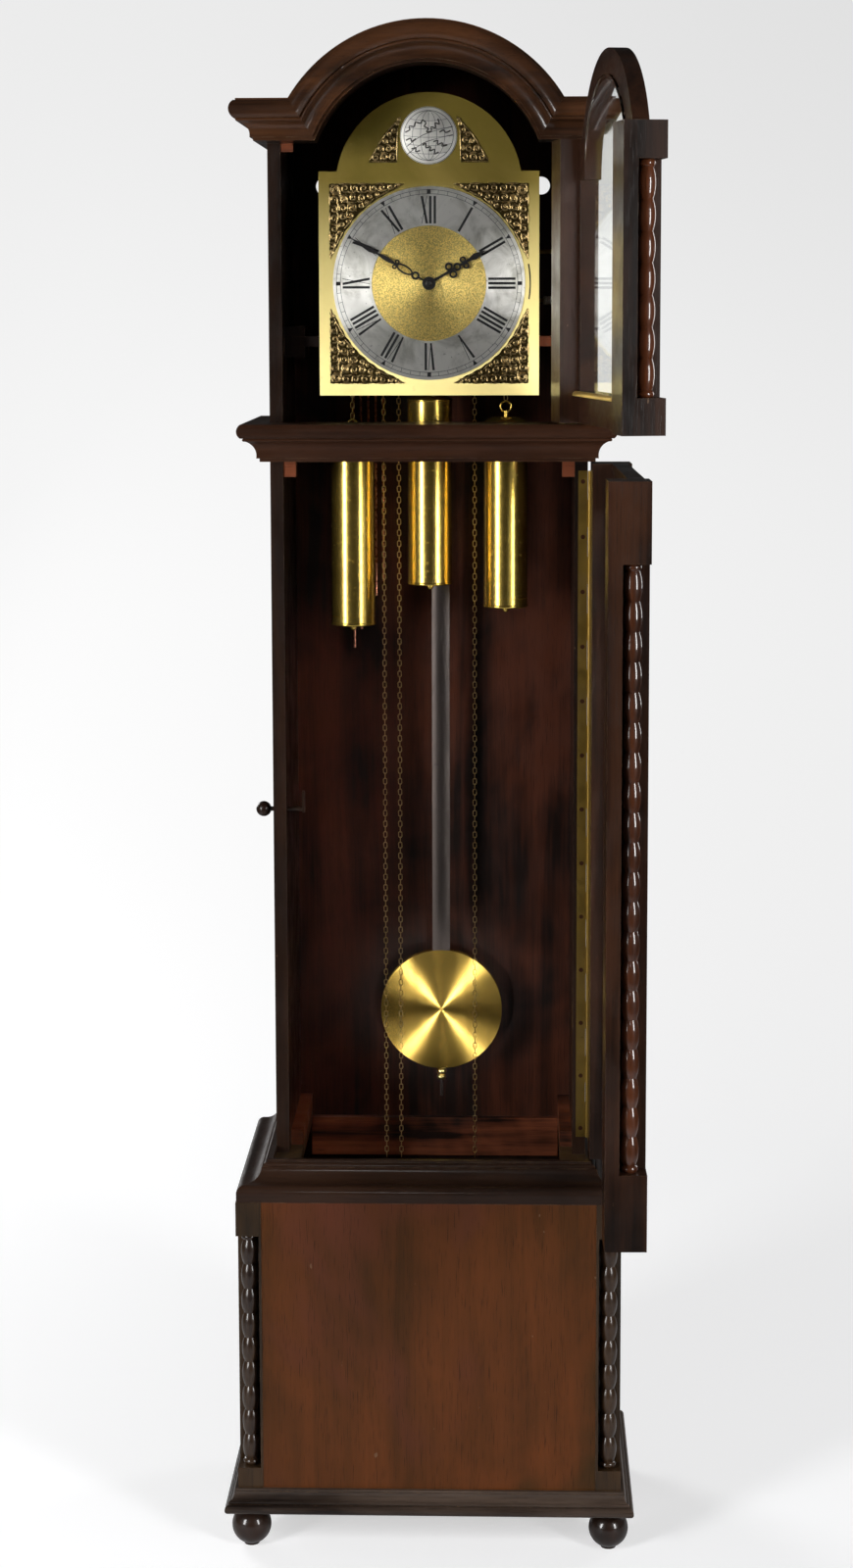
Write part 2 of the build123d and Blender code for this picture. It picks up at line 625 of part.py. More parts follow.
def make_carcass():
    side = block((-HALF, -INNER), (FRONT, BACK), (FRAME_TOP, CORNICE_Z))
    side -= Pos(-HALF, FRONT + LATCH_BACK, LATCH_HEIGHT) * Rot(0, 90, 0) * Cylinder(
        LATCH_SPINDLE_RADIUS + PIN_CLEARANCE, 3 * SIDE_THICK
    )
    save("side_panels", side, block((INNER, HALF), (FRONT, BACK), (FRAME_TOP, CORNICE_Z)))

    board_face = head_outline(ARCH_RADIUS + HEAD_WALL - ROOF_THICK, INNER, TOP_Z - ROOF_THICK, LOWER_Z)
    board = front_plate(board_face, BOARD_FRONT, BACK_THICK)
    hole_x = INNER - BOARD_HOLE_INSET
    for x in (-hole_x, hole_x):
        board -= arbor(BOARD_HOLE_RADIUS, x, HOOD_Z + BOARD_HOLE_RISE, (BOARD_FRONT - 5, BACK + 5))
    save("back_board", board)

    cleat = block(
        (-INNER, -INNER + CLEAT_WIDTH), (FRONT + CLEAT_FRONT, BOARD_FRONT),
        (FRAME_TOP, FRAME_TOP + CLEAT_HEIGHT),
    )
    rail = block(
        (-INNER + CLEAT_WIDTH, INNER - CLEAT_WIDTH), (BOARD_FRONT - BACK_RAIL_THICK, BOARD_FRONT),
        (FRAME_TOP - BACK_RAIL_DROP - BACK_RAIL_HEIGHT, FRAME_TOP - BACK_RAIL_DROP),
    )
    wide, deep, high = GLUE_BLOCK
    glue = block(
        (-INNER, -INNER + wide), (FRONT + GLUE_BLOCK_FRONT, FRONT + GLUE_BLOCK_FRONT + deep),
        (WAIST_Z - GLUE_BLOCK_DROP - high, WAIST_Z - GLUE_BLOCK_DROP),
    )
    brace = plan_prism(
        [
            (-INNER, FRONT + BRACE_FRONT), (-INNER + wide, FRONT + BRACE_FRONT),
            (-INNER, FRONT + BRACE_FRONT + deep),
        ],
        (CORNICE_Z - high / 2, CORNICE_Z),
    )
    save("glue_blocks", *mirrored(glue), *mirrored(brace), *mirrored(cleat), rail)

    section = bullnose_section(WAIST_OUT, WAIST_HEIGHT, WAIST_NOSE, WAIST_FOOT, WAIST_FILLET)
    front, side_mould = mitred_set(section, HALF, MOULD_FRONT, WAIST_Z, WAIST_OUT)
    rail = block((-HALF, HALF), (MOULD_FRONT, FRONT), (WAIST_Z, HOOD_Z))
    save("waist_moulding", front, *mirrored(side_mould), rail)


def make_hood_top():
    section = bullnose_section(
        CORNICE_OUT, CORNICE_HEIGHT, CORNICE_NOSE, CORNICE_FOOT, CORNICE_FILLET, CORNICE_CAP
    )
    front, side = mitred_set(section, HALF, MOULD_FRONT, CORNICE_Z, CORNICE_OUT)
    low_x = sqrt(ARCH_RADIUS**2 - ARCH_DROP**2)
    high_x = sqrt(ARCH_OUTER**2 - (TOP_Z - ARCH_Z) ** 2)
    far = HALF + CORNICE_OUT + 5
    depth = CORNICE_OUT + 10
    left_zone = front_plate(
        outline([(-far, CORNICE_Z - 1), (-low_x, CORNICE_Z - 1), (-low_x, CORNICE_Z), (-high_x, TOP_Z),
                 (-high_x, TOP_Z + 1), (-far, TOP_Z + 1)]),
        MOULD_FRONT - depth, 2 * depth,
    )
    left = front & left_zone
    plane = Plane(origin=(0, MOULD_FRONT, ARCH_Z + ARCH_RADIUS), x_dir=(0, -1, 0), z_dir=(-1, 0, 0))
    ring = revolve(plane * make_face(section), Axis((0, MOULD_FRONT, ARCH_Z), (0, 1, 0)), 360)
    lift = TOP_Z - CORNICE_Z
    arch_zone = front_plate(
        outline([(low_x, CORNICE_Z), (high_x, TOP_Z), (high_x + (high_x - low_x) * 2, TOP_Z + lift * 3),
                 (-high_x - (high_x - low_x) * 2, TOP_Z + lift * 3), (-high_x, TOP_Z), (-low_x, CORNICE_Z)]),
        MOULD_FRONT - depth, 2 * depth,
    )
    save("cornice_moulding", ring & arch_zone, left, mirror(left, about=Plane.YZ), *mirrored(side))

    rim = ARCH_RADIUS + HEAD_WALL
    head = front_plate(head_outline(rim, HALF, TOP_Z, CORNICE_Z), MOULD_FRONT, FRONT_STEP)
    head -= arbor(ARCH_RADIUS + HEAD_CLEARANCE, 0, ARCH_Z, (MOULD_FRONT - 5, FRONT + 5))
    save("arch_head", head)
    shell = head_outline(rim, HALF, TOP_Z, CORNICE_Z) - head_outline(
        rim - ROOF_THICK, INNER, TOP_Z - ROOF_THICK, CORNICE_Z
    )
    save("hood_roof", front_plate(shell, FRONT, SIDE_DEPTH))


# ---------------------------------------------------------------- doors, drawn closed and then swung open
def door_stile(half, y_back, z, top_block, foot_block):
    """The left stile: 50 mm deep, with a notch for its column between two blocks."""
    y_front = y_back - DOOR_THICK
    stile = block((-half, -half + STILE_WIDTH), (y_front, y_back), z)
    stile -= block(
        (-half - 1, -half + NOTCH_WIDTH), (y_front - 1, y_front + NOTCH_DEPTH),
        (z[0] + foot_block, z[1] - top_block),
    )
    return stile


def door_columns(half, y_back, z, top_block, foot_block, beads):
    """One column in each stile's notch."""
    y_front = y_back - DOOR_THICK
    column = bead_column(
        DOOR_COLUMN_RADIUS, (z[0] + foot_block, z[1] - top_block), beads,
        -half + NOTCH_WIDTH - DOOR_COLUMN_RADIUS - COLUMN_CLEARANCE,
        y_front + NOTCH_DEPTH - DOOR_COLUMN_RADIUS - COLUMN_CLEARANCE,
    )
    return mirrored(column)


def make_trunk_door():
    half = HALF - DOOR_SIDE_GAP
    y_back = FRONT - DOOR_GAP
    z = (TRUNK_Z + TRUNK_DOOR_CLEARANCE, WAIST_Z - TRUNK_DOOR_CLEARANCE)
    pivot = (HALF + PIANO_KNUCKLE_RADIUS + 0.1, FRONT - DOOR_GAP / 2)
    frame_y = (y_back - DOOR_THICK + FRAME_SETBACK, y_back - DOOR_THICK + FRAME_SETBACK + FRAME_THICK)
    inside = half - STILE_WIDTH

    def opened(shape):
        return swing(shape, pivot, TRUNK_DOOR_OPEN)

    stile = door_stile(half, y_back, z, TRUNK_TOP_BLOCK, TRUNK_FOOT_BLOCK)
    stiles = mirrored(stile)
    arm_x = -INNER + LATCH_REACH
    tip = LATCH_ARM_LENGTH + LATCH_ARM_HALF - LATCH_BACK
    stiles[0] -= block(
        (arm_x - LATCH_ARM_THICK - LATCH_SLOT_MARGIN, arm_x + LATCH_SLOT_MARGIN),
        (y_back - tip - LATCH_SLOT_MARGIN, y_back + 1),
        (LATCH_HEIGHT - LATCH_ARM_HALF - LATCH_SLOT_MARGIN, LATCH_HEIGHT + LATCH_ARM_LENGTH + LATCH_ARM_HALF),
    )
    knuckle_room = rod(PIANO_KNUCKLE_RADIUS + KNUCKLE_GAP, *pivot, z)
    save("trunk_door_stiles", *[opened(shape - knuckle_room) for shape in stiles])
    save(
        "trunk_door_columns",
        *[opened(c) for c in door_columns(half, y_back, z, TRUNK_TOP_BLOCK, TRUNK_FOOT_BLOCK, TRUNK_BEADS)],
    )
    bottom = block((-inside, inside), frame_y, (z[0], z[0] + TRUNK_RAIL))
    top = block((-inside, inside), frame_y, (z[1] - TRUNK_RAIL, z[1]))
    edge = block((-inside, -inside + SIGHT_EDGE), frame_y, (z[0] + TRUNK_RAIL, z[1] - TRUNK_RAIL))
    pane_z = (z[0] + TRUNK_RAIL - GLASS_LAP, z[1] - TRUNK_RAIL + GLASS_LAP)
    pane_y = (frame_y[1], frame_y[1] + GLASS_THICK)
    bead_y = (pane_y[1], pane_y[1] + BEAD_STRIP)
    tall_bead = block((-inside, -inside + BEAD_STRIP), bead_y, pane_z)
    short_beads = [
        block((-inside + BEAD_STRIP, inside - BEAD_STRIP), bead_y, pair)
        for pair in ((pane_z[0], pane_z[0] + BEAD_STRIP), (pane_z[1] - BEAD_STRIP, pane_z[1]))
    ]
    pieces = (bottom, top, *mirrored(edge), *mirrored(tall_bead), *short_beads)
    save("trunk_door_frame", *[opened(shape) for shape in pieces])
    pane = block((-inside, inside), pane_y, pane_z)
    save("trunk_door_glass", opened(pane))

    leaf_z = (z[0] + PIANO_END_GAP, z[1] - PIANO_END_GAP)
    pitch = (leaf_z[1] - leaf_z[0]) / PIANO_KNUCKLES
    case_leaf = block(
        (pivot[0] - PIANO_LEAF, pivot[0]), (FRONT - PIANO_LEAF_THICK, FRONT), leaf_z
    )
    door_leaf = block(
        (pivot[0] - PIANO_LEAF, pivot[0]), (y_back, y_back + PIANO_LEAF_THICK), leaf_z
    )
    bore = rod(PIANO_PIN_RADIUS + PIN_CLEARANCE, *pivot, leaf_z)
    space = rod(PIANO_KNUCKLE_RADIUS + KNUCKLE_GAP, *pivot, leaf_z)
    case_leaf -= space
    door_leaf -= space
    for number in range(PIANO_KNUCKLES):
        low = leaf_z[0] + number * pitch
        knuckle_z = (low + KNUCKLE_GAP / 2, low + pitch - KNUCKLE_GAP / 2)
        knuckle = rod(PIANO_KNUCKLE_RADIUS, *pivot, knuckle_z)
        if number % 2 == 0:
            web = block((pivot[0] - PIANO_WEB, pivot[0]), (FRONT - PIANO_LEAF_THICK, FRONT), knuckle_z)
            case_leaf += knuckle + web
        else:
            web = block((pivot[0] - PIANO_WEB, pivot[0]), (y_back, y_back + PIANO_LEAF_THICK), knuckle_z)
            door_leaf += knuckle + web
    save("piano_hinge_case_leaf", case_leaf - bore, rod(PIANO_PIN_RADIUS, *pivot, leaf_z))
    save("piano_hinge_door_leaf", opened(door_leaf - bore))


def pivot_arm(half, y, pivot, z):
    """The slanted arm of a hood hinge leaf, from the door's corner to the pivot."""
    points = [
        (half - ARM_ROOT, y), (pivot[0] - ARM_HALF, pivot[1] - ARM_HALF),
        (pivot[0] + ARM_HALF, pivot[1] + ARM_HALF), (half, y + ARM_ROOT), (half - ARM_ROOT, y + ARM_ROOT),
    ]
    return plan_prism(points, (min(z), max(z)))


def hood_door_face(half_width, bottom, radius):
    """Straight-sided face with a round top on shoulders, for the frame's sight and its glass."""
    shoulder = ARCH_Z
    return make_face(
        Polyline((radius, shoulder), (half_width, shoulder), (half_width, bottom), (-half_width, bottom),
                 (-half_width, shoulder), (-radius, shoulder))
        + ThreePointArc((-radius, shoulder), (0, shoulder + radius), (radius, shoulder))
    )


def make_hood_door():
    half = HALF - DOOR_SIDE_GAP
    y_back = FRONT - DOOR_GAP
    y_front = y_back - DOOR_THICK
    z = (HOOD_Z + HOOD_DOOR_CLEARANCE, CORNICE_Z - HOOD_DOOR_CLEARANCE)
    pivot = (HALF + PIVOT_OUT, y_front - PIVOT_OUT)
    frame_y = y_front + FRAME_SETBACK
    inside = half - STILE_WIDTH
    radius = ARCH_RADIUS - DOOR_ARCH_CLEARANCE

    def opened(shape):
        return swing(shape, pivot, HOOD_DOOR_OPEN)

    door_leaves = []
    case_leaves = []
    leaf_y = (y_front + LEAF_SETBACK, y_front + LEAF_SETBACK + LEAF_WIDTH)
    for end, sense in ((z[0], 1), (z[1], -1)):
        leaf_z = (end, end + sense * LEAF_THICK)
        leaf = block((half - LEAF_LENGTH, half), leaf_y, leaf_z)
        arm = pivot_arm(half, leaf_y[0], pivot, leaf_z)
        eye = rod(PIVOT_EYE_RADIUS, *pivot, leaf_z)
        hole = rod(PIVOT_PIN_RADIUS + PIN_CLEARANCE, *pivot, (end - sense, end + sense * (LEAF_THICK + 1)))
        door_leaves.append(leaf + arm + eye - hole)
        seat = end - sense * HOOD_DOOR_CLEARANCE
        plate_z = (seat, seat + sense * LEAF_THICK)
        plate = block((half - LEAF_LENGTH, half), leaf_y, plate_z)
        arm = pivot_arm(half, leaf_y[0], pivot, plate_z)
        pin = rod(PIVOT_PIN_RADIUS, *pivot, (seat, end + sense * LEAF_THICK))
        case_leaves.append(plate + arm + rod(PIVOT_EYE_RADIUS, *pivot, plate_z) + pin)
    save("hood_door_leaves", *[opened(leaf) for leaf in door_leaves])
    save("hood_case_leaves", *case_leaves)

    left = door_stile(half, y_back, z, HOOD_BLOCK, HOOD_BLOCK)
    right = mirror(left, about=Plane.YZ)
    for leaf in door_leaves:
        right -= leaf
    save("hood_door_stiles", opened(left), opened(right))
    save(
        "hood_door_columns",
        *[opened(c) for c in door_columns(half, y_back, z, HOOD_BLOCK, HOOD_BLOCK, HOOD_BEADS)],
    )

    reach = sqrt(radius**2 - (z[1] - ARCH_Z) ** 2)
    outer = make_face(
        Polyline((reach, z[1]), (inside, z[1]), (inside, z[0]), (-inside, z[0]), (-inside, z[1]),
                 (-reach, z[1]))
        + ThreePointArc((-reach, z[1]), (0, ARCH_Z + radius), (reach, z[1]))
    )
    sight_bottom = z[0] + HOOD_RAIL
    sight = hood_door_face(inside - SIGHT_EDGE, sight_bottom, radius - DOOR_ARCH_WIDTH)
    save("hood_door_frame", opened(front_plate(outer - sight, frame_y, FRAME_THICK)))
    glass = hood_door_face(inside - SIGHT_EDGE + GLASS_LAP, sight_bottom - GLASS_LAP,
                           radius - DOOR_ARCH_WIDTH + GLASS_LAP)
    glass_y = frame_y + FRAME_THICK
    save("hood_door_glass", opened(front_plate(glass, glass_y, GLASS_THICK)))
    strip = block((-inside, inside), (glass_y + GLASS_THICK, glass_y + GLASS_THICK + BEAD_STRIP),
                  (sight_bottom - BEAD_STRIP, sight_bottom))
    edge = strip.edges().filter_by(Axis.X).group_by(Axis.Y)[-1].sort_by(Axis.Z)[-1:]
    strip = fillet(edge, BEAD_STRIP * 0.8)
    save("hood_door_bead", opened(strip))


def make_latch():
    y = FRONT + LATCH_BACK
    ball_x = -HALF - LATCH_BALL_OUT
    inner_x = -INNER + LATCH_REACH
    neck_x = ball_x + sqrt(LATCH_BALL_RADIUS**2 - LATCH_SPINDLE_RADIUS**2)
    profile = outline_with_arc(
        [
            (neck_x, LATCH_SPINDLE_RADIUS), (inner_x, LATCH_SPINDLE_RADIUS), (inner_x, 0),
            (ball_x - LATCH_BALL_RADIUS, 0),
        ],
        (ball_x, LATCH_BALL_RADIUS),
    )
    knob = Pos(0, y, LATCH_HEIGHT) * revolve(Plane.XZ * profile, Axis.X)
    arm_face = Pos(0, LATCH_ARM_LENGTH / 2) * Rectangle(2 * LATCH_ARM_HALF, LATCH_ARM_LENGTH)
    arm_face += Circle(LATCH_ARM_HALF) + Pos(0, LATCH_ARM_LENGTH) * Circle(LATCH_ARM_HALF)
    plane = Plane(origin=(inner_x - LATCH_ARM_THICK, y, LATCH_HEIGHT), x_dir=(0, 1, 0), z_dir=(1, 0, 0))
    save("latch", knob + extrude(plane * arm_face, LATCH_ARM_THICK))


# ---------------------------------------------------------------- dial
def make_dial():
    half = DIAL_WIDTH / 2
    top = DIAL_BOTTOM + DIAL_SQUARE
    reach = sqrt(DIAL_ARCH_RADIUS**2 - (top - ARCH_Z) ** 2)
    face = make_face(
        Polyline((reach, top), (half, top), (half, DIAL_BOTTOM), (-half, DIAL_BOTTOM), (-half, top),
                 (-reach, top))
        + ThreePointArc((-reach, top), (0, ARCH_Z + DIAL_ARCH_RADIUS), (reach, top))
    )
    plate = front_plate(face, DIAL_Y, DIAL_THICK)
    plate -= arbor(HOUR_PIPE_RADIUS + 1, 0, DIAL_CENTRE, (DIAL_Y - 5, DIAL_Y + 5))
    save("dial_plate", plate)

    ring = arbor(RING_RADIUS, 0, DIAL_CENTRE, (DIAL_Y - RING_THICK, DIAL_Y))
    ring -= arbor(RING_INNER, 0, DIAL_CENTRE, (DIAL_Y - 5, DIAL_Y + 5))
    save("chapter_ring", ring)
    centre = arbor(RING_INNER - CENTRE_GAP, 0, DIAL_CENTRE, (DIAL_Y - CENTRE_THICK, DIAL_Y))
    centre -= arbor(HOUR_PIPE_RADIUS + 1, 0, DIAL_CENTRE, (DIAL_Y - 5, DIAL_Y + 5))
    save("dial_centre", centre)

    bow = (GLOBE_RADIUS**2 + GLOBE_BOW**2) / (2 * GLOBE_BOW)
    dome = Pos(0, DIAL_Y - GLOBE_RIM + bow - GLOBE_BOW, GLOBE_CENTRE) * Sphere(bow)
    boss = arbor(GLOBE_RADIUS, 0, GLOBE_CENTRE, (DIAL_Y - GLOBE_RIM - GLOBE_BOW, DIAL_Y)) & dome
    save("globe_boss", boss)

    other_half = [(v, u) for u, v in reversed(SPANDREL_EDGE[1:])]
    edge = [*SPANDREL_EDGE, (SPANDREL_MIDDLE, SPANDREL_MIDDLE), *other_half]
    y_front = DIAL_Y - SPANDREL_THICK
    spandrels = []
    for sx in (-1, 1):
        for sz, corner_z in ((1, top), (-1, DIAL_BOTTOM)):
            x0 = sx * (half - SPANDREL_MARGIN)
            z0 = corner_z - sz * SPANDREL_MARGIN
            points = [(x0 - sx * u, z0 - sz * v) for u, v in edge]
            spandrels.append(front_plate(make_face(Spline(*points, periodic=True)), y_front, SPANDREL_THICK))
    points = [(x, GLOBE_CENTRE + z) for x, z in WING_EDGE]
    wing = front_plate(make_face(Spline(*points, periodic=True)), y_front, SPANDREL_THICK)
    save("spandrels", *spandrels, *mirrored(wing))


# ---------------------------------------------------------------- hands
def hand_outline(length, shank, spear, rings):
    """A pierced serpentine hand that points up: hub, shank, rings and a spear tip."""
    foot, shoulder, half = spear
    body = Circle(HAND_HUB)
    body += Pos(0, foot / 2) * Rectangle(shank, foot)
    body += outline([(-shank / 2, foot - half), (-half, shoulder), (0, length), (half, shoulder),
                     (shank / 2, foot - half)])
    for x, z, outer, _ in rings:
        for side in {-1, 1} if x else {1}:
            body += Pos(side * x, z) * Circle(outer)
    for x, z, _, inner in rings:
        for side in {-1, 1} if x else {1}:
            body -= Pos(side * x, z) * Circle(inner)
    return body


def make_hands():
    y = DIAL_Y
    plate_y = FRONT + PLATE_FRONT

    def hand(face, lift, angle):
        shape = front_plate(Rot(0, 0, -angle) * face, 0, HAND_THICK)
        return Pos(0, y - lift - HAND_THICK, DIAL_CENTRE) * shape

    face = hand_outline(HOUR_HAND_LENGTH, HOUR_SHANK, HOUR_SPEAR, HOUR_RINGS)
    hour = hand(face, HOUR_HAND_LIFT, HOUR_HAND_ANGLE)
    hour += arbor(HOUR_PIPE_RADIUS, 0, DIAL_CENTRE, (y - HOUR_HAND_LIFT - HAND_THICK, plate_y - 1))
    hour -= arbor(CENTRE_PIPE_RADIUS + 0.1, 0, DIAL_CENTRE, (y - 20, plate_y + 5))
    save("hour_hand", hour)

    loop_z, loop_x, loop_half, hole_x, hole_half = MINUTE_LOOP
    swell_z, swell_x, swell_half = MINUTE_SWELL
    face = hand_outline(MINUTE_HAND_LENGTH, MINUTE_SHANK, MINUTE_SPEAR, MINUTE_RINGS)
    face += Pos(0, swell_z) * Ellipse(swell_x, swell_half)
    face += Pos(0, loop_z) * Ellipse(loop_x, loop_half)
    face -= Pos(0, loop_z) * Ellipse(hole_x, hole_half)
    minute = hand(face, MINUTE_HAND_LIFT, MINUTE_HAND_ANGLE)
    pipe_front = y - MINUTE_HAND_LIFT - HAND_THICK
    minute += arbor(CENTRE_PIPE_RADIUS, 0, DIAL_CENTRE, (pipe_front, plate_y - 0.5))
    save("minute_hand", minute)
    nut = arbor(HAND_NUT_RADIUS, 0, DIAL_CENTRE, (pipe_front - HAND_NUT_THICK, pipe_front))
    nut = fillet(nut.edges().group_by(Axis.Y)[0], HAND_NUT_THICK * 0.8)
    save("hand_nut", nut)


# ---------------------------------------------------------------- movement
def toothed_face(radius, teeth, depth):
    """A wheel's outline with straight-flanked teeth."""
    points = []
    for number in range(teeth):
        for share, reach in ((0.0, radius - depth), (0.25, radius - depth), (0.4, radius), (0.85, radius)):
            angle = 2 * pi * (number + share) / teeth
            points.append((reach * cos(angle), reach * sin(angle)))
    return outline(points)


def make_movement():
    front_y = FRONT + PLATE_FRONT
    back_y = front_y + PLATE_SPACING
    half = PLATE_WIDTH / 2
    plate_z = (SEAT_TOP, SEAT_TOP + PLATE_HEIGHT)
    wheel_x = [x + side * SPROCKET_RADIUS for x, side in zip(WEIGHT_X, SPROCKET_SIDE)]

    pillars = []
    for x in (-half + PILLAR_INSET, half - PILLAR_INSET):
        for z in (plate_z[0] + PILLAR_INSET, plate_z[1] - PILLAR_INSET):
            pillars.append(arbor(PILLAR_RADIUS, x, z, (front_y + PLATE_THICK, back_y)))
    for x in (-half + POST_INSET, half - POST_INSET):
        for z in (plate_z[0] + PILLAR_INSET, plate_z[1] - PILLAR_INSET):
            pillars.append(arbor(POST_RADIUS, x, z, (DIAL_Y + DIAL_THICK, front_y)))
    front = block((-half, half), (front_y, front_y + PLATE_THICK), plate_z)
    back = block((-half, half), (back_y, back_y + PLATE_THICK), plate_z)
    pallet_hole = arbor(ARBOR_RADIUS + PIN_CLEARANCE, PENDULUM_X, PIVOT_HEIGHT, (front_y - 5, back_y + 5))
    front -= pallet_hole
    back -= pallet_hole
    for x in wheel_x:
        hole = arbor(ARBOR_RADIUS + PIN_CLEARANCE, x, SPROCKET_HEIGHT, (front_y - 5, back_y + 5))
        front -= hole
        back -= hole
    plate_back = back_y + PLATE_THICK
    cock_x = (PENDULUM_X - COCK_WIDTH / 2, PENDULUM_X + COCK_WIDTH / 2)
    cock = block(cock_x, (plate_back, PENDULUM_Y + COCK_LAP), (PIVOT_HEIGHT, PIVOT_HEIGHT + COCK_THICK))
    foot_low, foot_high = COCK_FOOT
    cock += block(
        cock_x, (plate_back, plate_back + COCK_THICK), (PIVOT_HEIGHT - foot_low, PIVOT_HEIGHT + foot_high)
    )
    hole_y = (plate_back - 1, PENDULUM_Y - SPRING_WIDTH / 2 - 1)
    cock -= arbor(COCK_HOLE_RADIUS, PENDULUM_X, PIVOT_HEIGHT, hole_y)
    save("movement_plates", front, back, cock)
    save("movement_pillars", *pillars)

    mid_y = CHAIN_Y
    for name, x in zip(("left", "centre", "right"), wheel_x):
        centre = Pos(x, 0, SPROCKET_HEIGHT)
        rim = SPROCKET_THICK / 2
        tooth_radius = SPROCKET_RADIUS - CHAIN_RADIUS - CHAIN_WIRE_CLEARANCE
        face = toothed_face(tooth_radius, SPROCKET_TEETH, SPROCKET_TOOTH)
        wheel = centre * front_plate(face, mid_y - rim, 2 * rim)
        face = toothed_face(GREAT_WHEEL_RADIUS, GREAT_WHEEL_TEETH, GREAT_WHEEL_TOOTH)
        great = centre * front_plate(face, mid_y - GREAT_WHEEL_LEAD, GREAT_WHEEL_THICK)
        sleeve = arbor(SPROCKET_SLEEVE, x, SPROCKET_HEIGHT, (mid_y - GREAT_WHEEL_LEAD, mid_y + rim))
        shaft = arbor(ARBOR_RADIUS, x, SPROCKET_HEIGHT, (front_y - 1, back_y + PLATE_THICK + 1))
        save(f"{name}_sprocket", wheel + great + sleeve + shaft)


def make_seat():
    front_y = FRONT + SEAT_FRONT
    half = INNER - SEAT_END_GAP
    board = block((-half, half), (front_y, front_y + SEAT_DEPTH), (SEAT_TOP - SEAT_THICK, SEAT_TOP))
    for x, side in zip(WEIGHT_X, SPROCKET_SIDE):
        low, high = sorted((x, x + 2 * side * SPROCKET_RADIUS))
        board -= block(
            (low - SEAT_SLOT_SIDE, high + SEAT_SLOT_SIDE),
            (CHAIN_Y - SEAT_SLOT_FRONT, CHAIN_Y + SEAT_SLOT_BACK),
            (SEAT_TOP - SEAT_THICK - 1, SEAT_TOP + 1),
        )
    save("seat_board", board)
    wide, deep, high = BRACKET
    middle = SEAT_TOP - SEAT_THICK / 2
    bracket = block(
        (-INNER, -INNER + wide), (front_y, front_y + deep), (middle - high / 2, middle + high / 2)
    )
    bracket -= block(
        (-half, -INNER + wide + 1), (front_y - 1, front_y + deep + 1), (SEAT_TOP - SEAT_THICK, SEAT_TOP)
    )
    save("seat_brackets", *mirrored(bracket))


